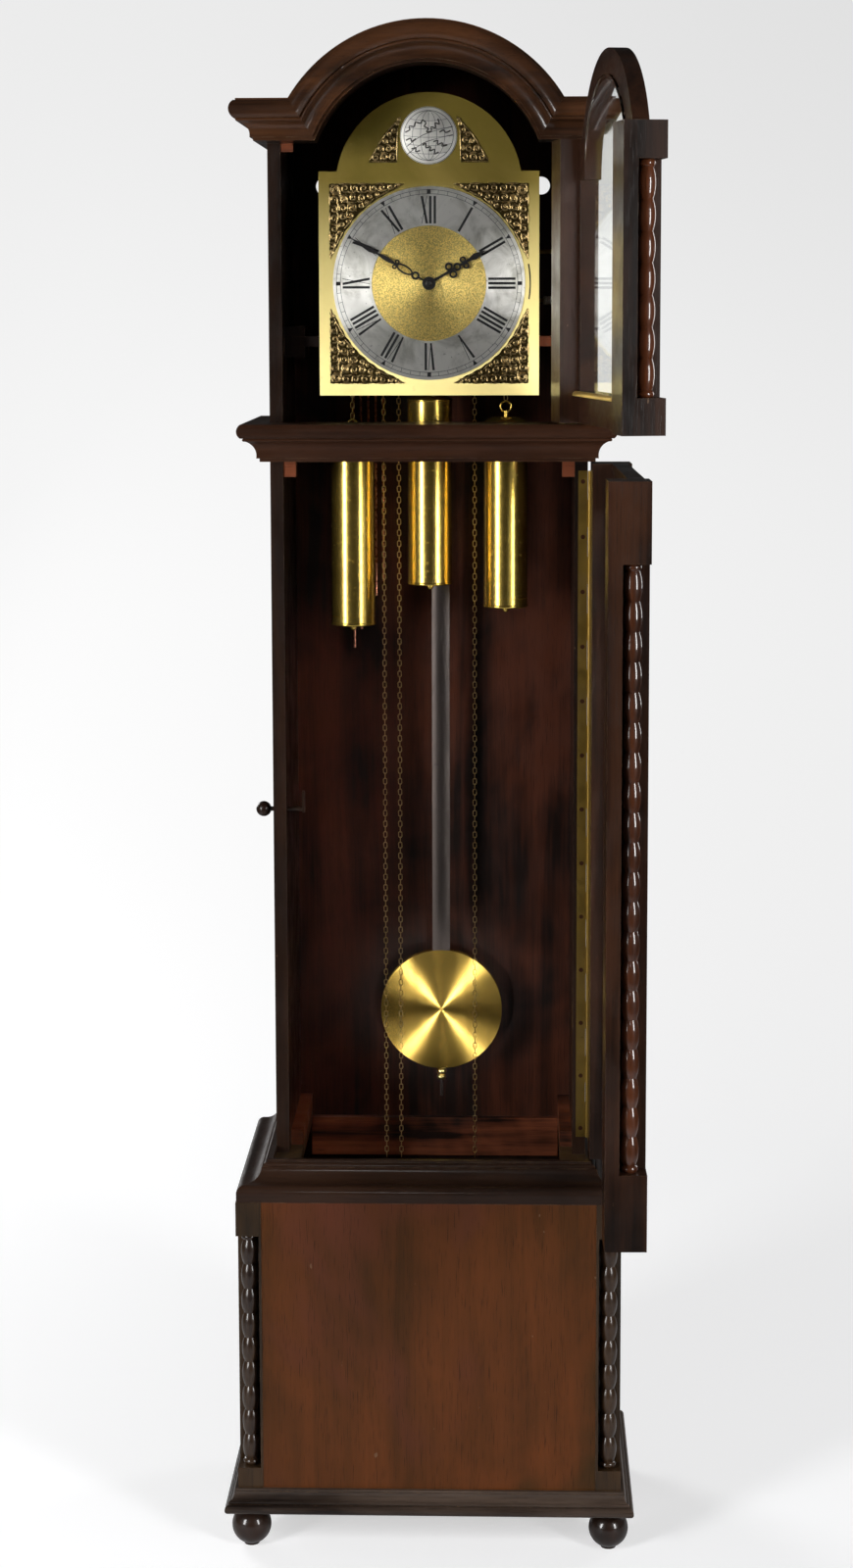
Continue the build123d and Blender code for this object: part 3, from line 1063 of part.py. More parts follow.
# ---------------------------------------------------------------- pendulum
def make_pendulum():
    x, y = PENDULUM_X, PENDULUM_Y
    clip_x, clip_y, clip_z = ROD_CLIP
    spring = block(
        (x - SPRING_THICK / 2, x + SPRING_THICK / 2), (y - SPRING_WIDTH / 2, y + SPRING_WIDTH / 2),
        (ROD_TOP + clip_z, PIVOT_HEIGHT),
    )
    clip = block(
        (x - clip_x / 2, x + clip_x / 2), (y - clip_y / 2, y + clip_y / 2), (ROD_TOP, ROD_TOP + clip_z)
    )
    bob_low = BOB_HEIGHT - BOB_RADIUS
    rod_low = bob_low + BOB_RIM
    lens = make_face(
        ThreePointArc((-ROD_WIDTH / 2, 0), (0, -ROD_THICK / 2), (ROD_WIDTH / 2, 0))
        + ThreePointArc((ROD_WIDTH / 2, 0), (0, ROD_THICK / 2), (-ROD_WIDTH / 2, 0))
    )
    bar = Pos(x, y, rod_low) * extrude(lens, ROD_TOP - rod_low)
    screw = rod(RATING_SCREW_RADIUS, x, y, (RATING_END, rod_low))
    save("pendulum_rod", bar + screw, spring + clip)

    crutch_y = y - CRUTCH_GAP
    crutch = arbor(ARBOR_RADIUS, x, PIVOT_HEIGHT, (FRONT + PLATE_FRONT - 1, crutch_y + CRUTCH_RADIUS))
    crutch += rod(CRUTCH_RADIUS, x, crutch_y, (PIVOT_HEIGHT - CRUTCH_LENGTH, PIVOT_HEIGHT))
    fork_x = ROD_WIDTH / 2 + CRUTCH_RADIUS + 0.3
    fork_z = PIVOT_HEIGHT - CRUTCH_LENGTH
    crutch += block((x - fork_x - 1, x + fork_x + 1), (crutch_y - 1, crutch_y + 1), (fork_z - 2, fork_z + 2))
    for side in (-1, 1):
        crutch += arbor(CRUTCH_RADIUS, x + side * fork_x, fork_z, (crutch_y, y + ROD_THICK / 2 + 2))
    pallets = outline([
        (-PALLET_REACH, -PALLET_DROP), (-PALLET_REACH + 4, -PALLET_DROP + 3), (-3, -2), (3, -2),
        (PALLET_REACH - 4, -PALLET_DROP + 3), (PALLET_REACH, -PALLET_DROP), (PALLET_REACH, -5),
        (4, 5), (-4, 5), (-PALLET_REACH, -5),
    ])
    crutch += Pos(x, FRONT + PLATE_FRONT + PLATE_SPACING * 0.7, PIVOT_HEIGHT) * front_plate(pallets, 0, 3.0)
    save("crutch", crutch)

    slide_y = (y - BOB_BOX, y + BOB_BOX)
    face_x = BOB_RADIUS - BOB_RIM
    face_z = BOB_RIM + 1
    profile = [
        Polyline((0, 0), (BOB_RADIUS, 0), (BOB_RADIUS, BOB_RIM), (face_x, face_z)),
        ThreePointArc((face_x, face_z), (BOB_RADIUS / 2, BOB_RIM + BOB_DISH * 0.75), (0, BOB_RIM + BOB_DISH)),
        Line((0, BOB_RIM + BOB_DISH), (0, 0)),
    ]
    disc = Pos(x, slide_y[1], BOB_HEIGHT) * Rot(90, 0, 0) * revolve(Plane.XZ * make_face(profile), Axis.Z)
    disc += arbor(BOB_RADIUS, x, BOB_HEIGHT, (y - ROD_THICK / 2 - 1, slide_y[1]))
    disc -= block(
        (x - ROD_WIDTH / 2 - ROD_CLEARANCE, x + ROD_WIDTH / 2 + ROD_CLEARANCE),
        (y - ROD_THICK / 2 - ROD_CLEARANCE, y + ROD_THICK / 2 + ROD_CLEARANCE),
        (bob_low - 1, BOB_HEIGHT + BOB_RADIUS + 1),
    )
    save("pendulum_bob", disc)
    bore = RATING_SCREW_RADIUS + PIN_CLEARANCE
    high = bob_low - RATING_GAP
    edges = [Line((bore, high), (RATING_NECK, high))]
    for radius, height in RATING_BULBS:
        low = high - height
        edges.append(ThreePointArc((RATING_NECK, high), (radius, (high + low) / 2), (RATING_NECK, low)))
        high = low
    edges.append(Polyline((RATING_NECK, high), (bore, high), (bore, bob_low - RATING_GAP)))
    save("rating_nut", turned(edges, x, y))


# ---------------------------------------------------------------- weights and chains
def weight_solids(x, bottom):
    """Shell, lower cap with its tip and groove, and upper cap with its hook ring."""
    top = bottom + WEIGHT_LENGTH
    shell_radius = WEIGHT_RADIUS - WEIGHT_SHELL_SET
    groove = shell_radius - WEIGHT_GROOVE
    cap_top = bottom + WEIGHT_LOWER_CAP
    cap_low = top - WEIGHT_UPPER_CAP
    shell = rod(shell_radius, x, CHAIN_Y, (cap_top, cap_low))
    tip = bottom - WEIGHT_TIP_LENGTH
    lower = [
        Line((0, cap_top), (0, tip)),
        ThreePointArc((0, tip), (WEIGHT_TIP_RADIUS, tip + WEIGHT_TIP_RADIUS), (WEIGHT_STEM_RADIUS, bottom)),
        Line((WEIGHT_STEM_RADIUS, bottom), (shell_radius - WEIGHT_FLANGE, bottom)),
        ThreePointArc(
            (shell_radius - WEIGHT_FLANGE, bottom), (WEIGHT_RADIUS, bottom + WEIGHT_FLANGE / 2),
            (shell_radius, bottom + WEIGHT_FLANGE),
        ),
        Polyline(
            (shell_radius, bottom + WEIGHT_FLANGE), (shell_radius, cap_top - WEIGHT_GROOVE),
            (groove, cap_top - WEIGHT_GROOVE), (groove, cap_top), (0, cap_top),
        ),
    ]
    shoulder = cap_low + WEIGHT_FLANGE
    stem_top = top + WEIGHT_STEM
    upper = [
        Polyline((0, cap_low), (shell_radius, cap_low)),
        ThreePointArc(
            (shell_radius, cap_low), (WEIGHT_RADIUS, cap_low + WEIGHT_FLANGE / 2), (shell_radius, shoulder)
        ),
        ThreePointArc(
            (shell_radius, shoulder), (WEIGHT_RADIUS * 0.7, top - WEIGHT_FLANGE / 2),
            (WEIGHT_STEM_RADIUS, top),
        ),
        Polyline((WEIGHT_STEM_RADIUS, top), (WEIGHT_STEM_RADIUS, stem_top), (0, stem_top), (0, cap_low)),
    ]
    hook_z = stem_top + HOOK_RADIUS - HOOK_WIRE
    ring = Pos(x, CHAIN_Y, hook_z) * Rot(90, 0, 0) * Torus(HOOK_RADIUS, HOOK_WIRE)
    return shell, turned(lower, x, CHAIN_Y), turned(upper, x, CHAIN_Y) + ring


def make_weights():
    for name, x, drop, side in zip(("left", "centre", "right"), WEIGHT_X, WEIGHT_DROP, SPROCKET_SIDE):
        bottom = HOOD_Z - drop
        save(f"{name}_weight", *weight_solids(x, bottom))
        hook_top = bottom + WEIGHT_LENGTH + WEIGHT_STEM + 2 * HOOK_RADIUS
        save(f"{name}_weight_chain", rod(CHAIN_RADIUS, x, CHAIN_Y, (hook_top, SPROCKET_HEIGHT)))
        bend = Pos(x + side * SPROCKET_RADIUS, CHAIN_Y, SPROCKET_HEIGHT) * Rot(90, 0, 0) * Torus(
            SPROCKET_RADIUS, CHAIN_RADIUS
        )
        wide = (x - 100, x + 100)
        upper_half = (SPROCKET_HEIGHT, SPROCKET_HEIGHT + 2 * SPROCKET_RADIUS)
        bend &= block(wide, (CHAIN_Y - 10, CHAIN_Y + 10), upper_half)
        free_x = x + 2 * side * SPROCKET_RADIUS
        free = bend + rod(CHAIN_RADIUS, free_x, CHAIN_Y, (CHAIN_END, SPROCKET_HEIGHT))
        save(f"{name}_free_chain", free)


def make_gong():
    wide, deep, high = ROD_BLOCK
    x0 = GONG_X - GONG_PITCH * 1.5
    z = (ROD_BLOCK_BOTTOM, ROD_BLOCK_BOTTOM + high)
    save("gong_block", block((x0, x0 + wide), (BOARD_FRONT - deep, BOARD_FRONT), z))
    rods = []
    for number, length in enumerate(GONG_LENGTHS):
        rods.append(
            rod(GONG_RADIUS, GONG_X + number * GONG_PITCH, BOARD_FRONT - deep / 2, (z[0] - length, z[0]))
        )
    save("gong_rods", *rods)


os.makedirs("parts", exist_ok=True)
make_base()
make_carcass()
make_hood_top()
make_trunk_door()
make_hood_door()
make_latch()
make_dial()
make_hands()
make_movement()
make_seat()
make_pendulum()
make_weights()
make_gong()
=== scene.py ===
"""Finishes and fine pieces of a longcase hall clock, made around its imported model."""

import math

import bpy
from bpy.props import FloatProperty, FloatVectorProperty, PointerProperty
from mathutils import Matrix, Vector


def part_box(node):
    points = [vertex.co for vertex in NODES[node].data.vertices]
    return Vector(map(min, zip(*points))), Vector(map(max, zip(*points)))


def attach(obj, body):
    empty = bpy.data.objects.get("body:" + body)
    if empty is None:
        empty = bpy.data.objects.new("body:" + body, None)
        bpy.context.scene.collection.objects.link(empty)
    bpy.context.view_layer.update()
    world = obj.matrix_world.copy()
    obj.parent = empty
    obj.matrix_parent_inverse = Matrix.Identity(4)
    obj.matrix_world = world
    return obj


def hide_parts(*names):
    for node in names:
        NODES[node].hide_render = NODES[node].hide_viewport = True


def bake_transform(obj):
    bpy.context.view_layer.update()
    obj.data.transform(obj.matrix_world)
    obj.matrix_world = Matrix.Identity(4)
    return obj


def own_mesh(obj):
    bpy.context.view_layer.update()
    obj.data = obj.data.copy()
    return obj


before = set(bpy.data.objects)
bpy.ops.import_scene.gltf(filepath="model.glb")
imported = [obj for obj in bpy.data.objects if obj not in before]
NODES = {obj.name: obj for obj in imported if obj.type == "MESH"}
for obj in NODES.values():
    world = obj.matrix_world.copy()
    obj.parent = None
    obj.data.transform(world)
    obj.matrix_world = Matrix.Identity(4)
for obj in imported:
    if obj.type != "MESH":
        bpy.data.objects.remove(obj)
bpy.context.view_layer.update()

bl_info = {
    "name": "Longcase hall clock",
    "version": (1, 0, 0),
    "blender": (4, 5, 0),
    "location": "3D View > Sidebar > Clock",
    "description": "Wood, brass, dial work and chains of a longcase hall clock",
    "category": "Object",
}

TURN = 2 * math.pi

RING_LOW, RING_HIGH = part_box("chapter_ring")
DIAL_X = (RING_LOW.x + RING_HIGH.x) / 2
DIAL_Z = (RING_LOW.z + RING_HIGH.z) / 2
RING_FRONT = RING_LOW.y
GLOBE_LOW, GLOBE_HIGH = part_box("globe_boss")
GLOBE_Z = (GLOBE_LOW.z + GLOBE_HIGH.z) / 2
PLATE_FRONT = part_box("dial_plate")[0].y
DIAL_SQUARE = 0.287
BOB_LOW, BOB_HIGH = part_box("pendulum_bob")
CHAIN_SIDES = {"left": 1, "centre": -1, "right": -1}
SPROCKET_Z = 1.632
SPROCKET_RADIUS = 0.0205
BEND_LINKS = 9               # links lying over a sprocket
BASE_CORNER = (0.251, -0.15525)    # half width and front plane where the plinth turns
TRUNK_CORNER = (0.205, -0.10925)   # the same for the mouldings round the trunk and hood
# The rubbed strip along an edge of the wood is partly a painted highlight.
EDGE_WIDTH = 0.0012          # of the rubbed strip along an edge of the wood


# ---------------------------------------------------------------- settings
class ClockWood(bpy.types.PropertyGroup):
    case: FloatVectorProperty(name="Case", description="Light tone of the stained case", subtype="COLOR",
                              size=3, default=(0.030, 0.0135, 0.0075))
    case_dark: FloatVectorProperty(name="Case, dark", description="Dark tone of the stained case",
                                   subtype="COLOR", size=3, default=(0.0075, 0.0042, 0.003))
    panel: FloatVectorProperty(name="Base panel", description="Light tone of the base panel",
                               subtype="COLOR", size=3, default=(0.125, 0.036, 0.0095))
    panel_dark: FloatVectorProperty(name="Base panel, dark", description="Dark tone of the base panel",
                                    subtype="COLOR", size=3, default=(0.040, 0.0165, 0.0045))
    inside: FloatVectorProperty(name="Inside", description="Light tone of the wood inside the case",
                                subtype="COLOR", size=3, default=(0.075, 0.022, 0.011))
    inside_dark: FloatVectorProperty(name="Inside, dark",
                                     description="Dark tone of the wood inside the case",
                                     subtype="COLOR", size=3, default=(0.010, 0.0048, 0.0035))
    column: FloatVectorProperty(name="Columns", description="Light tone of the turned columns",
                                subtype="COLOR", size=3, default=(0.085, 0.024, 0.008))
    turned: FloatVectorProperty(name="Hood columns", description="Light tone of the hood door's columns",
                                subtype="COLOR", size=3, default=(0.18, 0.052, 0.017))
    column_dark: FloatVectorProperty(name="Columns, dark", description="Dark tone of the turned columns",
                                     subtype="COLOR", size=3, default=(0.013, 0.006, 0.004))
    door: FloatVectorProperty(name="Doors", description="Light tone of the two doors", subtype="COLOR",
                              size=3, default=(0.046, 0.018, 0.009))
    cornice: FloatVectorProperty(name="Cornice", description="Light tone of the cornice", subtype="COLOR",
                                 size=3, default=(0.078, 0.030, 0.012))
    plinth: FloatVectorProperty(name="Plinth", description="Light tone of the plinth moulding",
                                subtype="COLOR", size=3, default=(0.085, 0.058, 0.043))
    post: FloatVectorProperty(name="Corner posts", description="Light tone of the corner posts",
                              subtype="COLOR", size=3, default=(0.052, 0.026, 0.010))
    post_dark: FloatVectorProperty(name="Corner posts, dark", description="Dark tone of the corner posts",
                                   subtype="COLOR", size=3, default=(0.013, 0.008, 0.004))
    rail: FloatVectorProperty(name="Rails", description="Light tone of the rails inside the case",
                              subtype="COLOR", size=3, default=(0.25, 0.070, 0.030))
    block: FloatVectorProperty(name="Glue blocks", description="Light tone of the blocks inside the case",
                               subtype="COLOR", size=3, default=(0.10, 0.058, 0.024))
    # Worn edge: bare wood where the stain is rubbed off, and also a painted highlight along the edges.
    worn_edge_and_sheen: FloatVectorProperty(name="Worn edge", description="Bare wood where the stain is rubbed off",
                              subtype="COLOR", size=3, default=(0.16, 0.095, 0.055))


class ClockMetal(bpy.types.PropertyGroup):
    brass: FloatVectorProperty(name="Brass", description="Clean brass", subtype="COLOR", size=3,
                               default=(0.86, 0.66, 0.26))
    tarnish: FloatVectorProperty(name="Tarnish", description="Darkened brass", subtype="COLOR", size=3,
                                 default=(0.3, 0.2, 0.07))
    silver: FloatVectorProperty(name="Silvering", description="Silvered chapter ring", subtype="COLOR",
                                size=3, default=(0.96, 0.94, 0.88))
    gold: FloatVectorProperty(name="Matted centre", description="Matted dial centre", subtype="COLOR",
                              size=3, default=(1.0, 0.75, 0.23))
    copper: FloatVectorProperty(name="Gong rods", description="Coppered gong rods", subtype="COLOR", size=3,
                                default=(0.5, 0.2, 0.12))


class ClockDial(bpy.types.PropertyGroup):
    numeral_outer: FloatProperty(name="Numerals' outer radius",
                                 description="Radius of the numerals' outer ends",
                                 subtype="DISTANCE", default=0.1115)
    numeral_inner: FloatProperty(name="Numerals' inner radius",
                                 description="Radius of the numerals' inner ends",
                                 subtype="DISTANCE", default=0.0765)
    stroke: FloatProperty(name="Stroke", description="Width of a thick stroke", subtype="DISTANCE",
                          default=0.0031)
    hairline: FloatProperty(name="Hairline", description="Width of the thinnest lines", subtype="DISTANCE",
                            default=0.0005)
    track_outer: FloatProperty(name="Minute track's outer radius",
                               description="Outer line of the minute track",
                               subtype="DISTANCE", default=0.1195)
    track_inner: FloatProperty(name="Minute track's inner radius",
                               description="Inner line of the minute track",
                               subtype="DISTANCE", default=0.1143)


class ClockChain(bpy.types.PropertyGroup):
    pitch: FloatProperty(name="Pitch", description="Distance between the middles of two links",
                         subtype="DISTANCE", default=0.00725)
    width: FloatProperty(name="Link width", description="Outside width of a link", subtype="DISTANCE",
                         default=0.0058)
    wire: FloatProperty(name="Wire", description="Thickness of the wire", subtype="DISTANCE",
                        default=0.00112)


class ClockLight(bpy.types.PropertyGroup):
    lamps: FloatProperty(name="Lamps", description="Power of the left front lamp", subtype="POWER",
                         default=88)
    spots: FloatProperty(name="Pendulum spots",
                         description="Power of the two side lamps on the pendulum bob",
                         subtype="POWER", default=110)
    sky: FloatProperty(name="Surroundings", description="Strength of the light from all round",
                       default=0.05)


# ---------------------------------------------------------------- modelling helpers
def pick(*objects):
    """Select just these objects and make the first one active."""
    bpy.ops.object.select_all(action="DESELECT")
    for each in objects:
        each.select_set(True)
    bpy.context.view_layer.objects.active = objects[0]


def settle(made):
    """Put an object's place, turn and size into its mesh."""
    pick(made)
    bpy.ops.object.transform_apply(location=True, rotation=True, scale=True)
    return made


def joined(objects, name):
    pick(*objects)
    if len(objects) > 1:
        bpy.ops.object.join()
    made = settle(bpy.context.object)
    made.name = name
    made.data.name = name
    return made


def copies(model, places):
    """A copy of the model at each place, every one with its own mesh. The model itself goes."""
    made = []
    for place in places:
        twin = model.copy()
        twin.data = model.data.copy()
        twin.data.transform(place)
        bpy.context.scene.collection.objects.link(twin)
        made.append(twin)
    bpy.data.objects.remove(model)
    return made


def modify(made, kind, **settings):
    pick(made)
    modifier = made.modifiers.new(kind.title(), kind)
    for name, value in settings.items():
        setattr(modifier, name, value)
    bpy.ops.object.modifier_apply(modifier=modifier.name)
    return made


def outward(made):
    """Merge doubles and point every face outwards."""
    pick(made)
    bpy.ops.object.mode_set(mode="EDIT")
    bpy.ops.mesh.select_all(action="SELECT")
    bpy.ops.mesh.remove_doubles(threshold=1e-6)
    bpy.ops.mesh.normals_make_consistent(inside=False)
    bpy.ops.object.mode_set(mode="OBJECT")
    return made


def finish_piece(made, body, material, stands_for=(), smooth=None):
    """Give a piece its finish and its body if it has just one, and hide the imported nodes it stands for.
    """
    made.data.materials.clear()
    made.data.materials.append(material)
    if smooth is not None:
        pick(made)
        bpy.ops.object.shade_smooth_by_angle(angle=math.radians(smooth))
    if body:
        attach(made, body)
    if stands_for:
        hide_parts(*stands_for)
    return made


def flat_shape(points):
    """A flat four-cornered shape on the dial, from points in (x, z) about the dial's centre."""
    bpy.ops.mesh.primitive_plane_add(size=1, location=(0, 0, 0))
    made = bpy.context.object
    order = [made.data.vertices[i] for i in made.data.polygons[0].vertices]
    for vertex, (x, z) in zip(order, points):
        vertex.co = (x, 0, z)
    return made


def band(radius, width, count=144):
    """A flat ring between two circles, about the dial's centre."""
    bpy.ops.mesh.primitive_circle_add(vertices=count, radius=radius - width / 2,
                                      rotation=(math.pi / 2, 0, 0))
    made = settle(bpy.context.object)
    pick(made)
    bpy.ops.object.mode_set(mode="EDIT")
    bpy.ops.mesh.select_all(action="SELECT")
    bpy.ops.mesh.extrude_edges_move()
    factor = (radius + width / 2) / (radius - width / 2)
    bpy.ops.transform.resize(value=(factor, 1, factor))
    bpy.ops.object.mode_set(mode="OBJECT")
    return made


def wire_path(points, thick, sides=2, cyclic=False, order=3):
    """A bent wire through points of (x, y, z, share of its thickness)."""
    bpy.ops.curve.primitive_nurbs_path_add(location=(0, 0, 0))
    made = bpy.context.object
    data = made.data
    data.splines.clear()
    spline = data.splines.new("NURBS")
    spline.points.add(len(points) - 1)
    for point, (x, y, z, share) in zip(spline.points, points):
        point.co = (x, y, z, 1)
        point.radius = share
    spline.use_cyclic_u = cyclic
    spline.order_u = order
    spline.use_endpoint_u = not cyclic
    spline.resolution_u = 3
    data.dimensions = "3D"
    data.bevel_depth = thick / 2
    data.bevel_resolution = sides
    data.use_fill_caps = True
    pick(made)
    bpy.ops.object.convert(target="MESH")
    return settle(bpy.context.object)


# ---------------------------------------------------------------- shader groups
DULL_BLOOM = (0.030, 0.019, 0.006)
RED_BLOOM = (0.090, 0.027, 0.013)
PORE_TONE = (0.006, 0.003, 0.002)


def opaque(colour):
    return (*colour, 1)


def add(tree, kind, inputs=None, **settings):
    """Add a shader node, set its options and fill its sockets with values or links."""
    node = tree.nodes.new("ShaderNode" + kind)
    for name, value in settings.items():
        setattr(node, name, value)
    for name, value in (inputs or {}).items():
        socket = node.inputs[name]
        if isinstance(value, bpy.types.NodeSocket):
            tree.links.new(value, socket)
        else:
            socket.default_value = value
    return node


def maths(tree, operation, *values):
    node = add(tree, "Math", {i: v for i, v in enumerate(values)}, operation=operation)
    return node.outputs[0]


def ramp(tree, value, low, high, to_low=0.0, to_high=1.0):
    node = add(tree, "MapRange", {"Value": value, "From Min": low, "From Max": high, "To Min": to_low,
                                  "To Max": to_high},
               interpolation_type="SMOOTHSTEP")
    return node.outputs["Result"]


def mixed(tree, factor, a, b, mode="MIX"):
    node = tree.nodes.new("ShaderNodeMix")
    node.data_type = "RGBA"
    node.blend_type = mode
    for index, value in ((0, factor), (6, a), (7, b)):
        socket = node.inputs[index]
        if isinstance(value, bpy.types.NodeSocket):
            tree.links.new(value, socket)
        else:
            socket.default_value = value
    return node.outputs[2]


def noise(tree, vector, stretch, detail=3.0, rough=0.55, twist=0.0):
    """Noise over coordinates stretched by three factors."""
    moved = add(tree, "VectorMath", {0: vector, 1: stretch}, operation="MULTIPLY").outputs[0]
    node = add(tree, "TexNoise", {"Vector": moved, "Scale": 1.0, "Detail": detail, "Roughness": rough,
                                  "Distortion": twist})
    return node.outputs["Fac"]


def new_group(name, sockets_in, sockets_out):
    tree = bpy.data.node_groups.new(name, "ShaderNodeTree")
    kinds = {"F": "NodeSocketFloat", "C": "NodeSocketColor", "V": "NodeSocketVector"}
    for label, kind in sockets_in:
        tree.interface.new_socket(name=label, in_out="INPUT", socket_type=kinds[kind])
    for label, kind in sockets_out:
        tree.interface.new_socket(name=label, in_out="OUTPUT", socket_type=kinds[kind])
    source = tree.nodes.new("NodeGroupInput")
    sink = tree.nodes.new("NodeGroupOutput")
    return tree, source.outputs, sink.inputs


def grain_group():
    """Stained, varnished hardwood whose grain runs along the vector's Z."""
    tree, given, wanted = new_group(
        "wood_grain",
        [("Vector", "V"), ("Light", "C"), ("Dark", "C"), ("Figure", "F"), ("Mottle", "F"), ("Bloom", "F")],
        [("Color", "C"), ("Roughness", "F"), ("Height", "F")],
    )
    figure = noise(tree, given["Vector"], (16, 16, 1.3), 5, 0.6, 0.8)
    streak = noise(tree, given["Vector"], (210, 210, 5), 3, 0.6)
    pores = noise(tree, given["Vector"], (1150, 1150, 34), 2, 0.5)
    mottle = noise(tree, given["Vector"], (4.5, 4.5, 3.0), 4, 0.62, 0.5)
    handling = noise(tree, given["Vector"], (26, 26, 19), 4, 0.65)
    tone = maths(tree, "MULTIPLY_ADD", ramp(tree, streak, 0.3, 0.7), 0.3, ramp(tree, figure, 0.32, 0.68))
    tone = maths(tree, "MULTIPLY_ADD", ramp(tree, mottle, 0.3, 0.7, -0.5, 0.5), given["Mottle"], tone)
    tone = maths(tree, "MULTIPLY_ADD", maths(tree, "SUBTRACT", tone, 0.6), given["Figure"], 0.5)
    tone = add(tree, "Clamp", {"Value": tone}).outputs[0]
    colour = mixed(tree, tone, given["Dark"], given["Light"])
    cloud = noise(tree, given["Vector"], (3.4, 3.4, 2.6), 3, 0.6, 0.4)
    dulled = maths(tree, "MULTIPLY", ramp(tree, cloud, 0.52, 0.7), given["Bloom"])
    colour = mixed(tree, dulled, colour, opaque(DULL_BLOOM))
    reddened = maths(tree, "MULTIPLY", ramp(tree, cloud, 0.46, 0.3), given["Bloom"])
    colour = mixed(tree, reddened, colour, opaque(RED_BLOOM))
    pore = ramp(tree, pores, 0.60, 0.70)
    colour = mixed(tree, maths(tree, "MULTIPLY", pore, 0.55), colour, opaque(PORE_TONE))
    tree.links.new(colour, wanted["Color"])
    tree.links.new(ramp(tree, handling, 0.3, 0.72, 0.28, 0.46), wanted["Roughness"])
    tree.links.new(maths(tree, "SUBTRACT", maths(tree, "MULTIPLY", streak, 0.25), pore), wanted["Height"])
    return tree


def wear_and_sheen_group():
    """Where the edges are rubbed, a light strip that is partly a painted highlight, and where small knocks
    and specks lie.
    """
    tree, given, wanted = new_group("edge_wear_and_sheen", [("Vector", "V"), ("Amount", "F"), ("Width", "F")],
                                    [("Edge", "F"), ("Specks", "F")])
    rounded = add(tree, "Bevel", {"Radius": given["Width"]}, samples=4).outputs[0]
    face = add(tree, "NewGeometry").outputs["True Normal"]
    meet = add(tree, "VectorMath", {0: rounded, 1: face}, operation="DOT_PRODUCT").outputs["Value"]
    bend = maths(tree, "SUBTRACT", 1.0, meet)
    broken = noise(tree, given["Vector"], (55, 55, 55), 4, 0.7)
    edge = maths(tree, "MULTIPLY", ramp(tree, bend, 0.04, 0.28), ramp(tree, broken, 0.41, 0.62))
    tree.links.new(maths(tree, "MULTIPLY", edge, given["Amount"]), wanted["Edge"])
    specks = noise(tree, given["Vector"], (95, 95, 60), 2, 0.5)
    tree.links.new(maths(tree, "MULTIPLY", ramp(tree, specks, 0.765, 0.79), given["Amount"]),
                   wanted["Specks"])
    return tree


def patina_group():
    """Cloudy tarnish and fine spots on polished metal."""
    tree, given, wanted = new_group("patina", [("Vector", "V"), ("Scale", "F"), ("Amount", "F")],
                                    [("Cloud", "F"), ("Spots", "F"), ("Grime", "F")])
    scaled = add(tree, "VectorMath", {0: given["Vector"], "Scale": given["Scale"]},
                 operation="SCALE").outputs[0]
    cloud = noise(tree, scaled, (1, 1, 1), 6, 0.66, 0.7)
    tree.links.new(maths(tree, "MULTIPLY", ramp(tree, cloud, 0.42, 0.72), given["Amount"]), wanted["Cloud"])
    spots = noise(tree, scaled, (13, 13, 13), 3, 0.6)
    tree.links.new(maths(tree, "MULTIPLY", ramp(tree, spots, 0.66, 0.73), given["Amount"]), wanted["Spots"])
    grime = noise(tree, scaled, (4, 4, 4), 4, 0.7)
    tree.links.new(ramp(tree, grime, 0.35, 0.75), wanted["Grime"])
    return tree


GROUPS = {}


def group_node(tree, name, inputs):
    makers = {"grain": grain_group, "wear_and_sheen": wear_and_sheen_group, "patina": patina_group}
    if name not in GROUPS:
        GROUPS[name] = makers[name]()
    node = tree.nodes.new("ShaderNodeGroup")
    node.node_tree = GROUPS[name]
    for label, value in inputs.items():
        if isinstance(value, bpy.types.NodeSocket):
            tree.links.new(value, node.inputs[label])
        else:
            node.inputs[label].default_value = value
    return node.outputs


def blank(name):
    made = bpy.data.materials.new(name)
    made.use_nodes = True
    tree = made.node_tree
    shader = tree.nodes["Principled BSDF"]
    place = add(tree, "TexCoord").outputs["Object"]
    return made, tree, shader, place


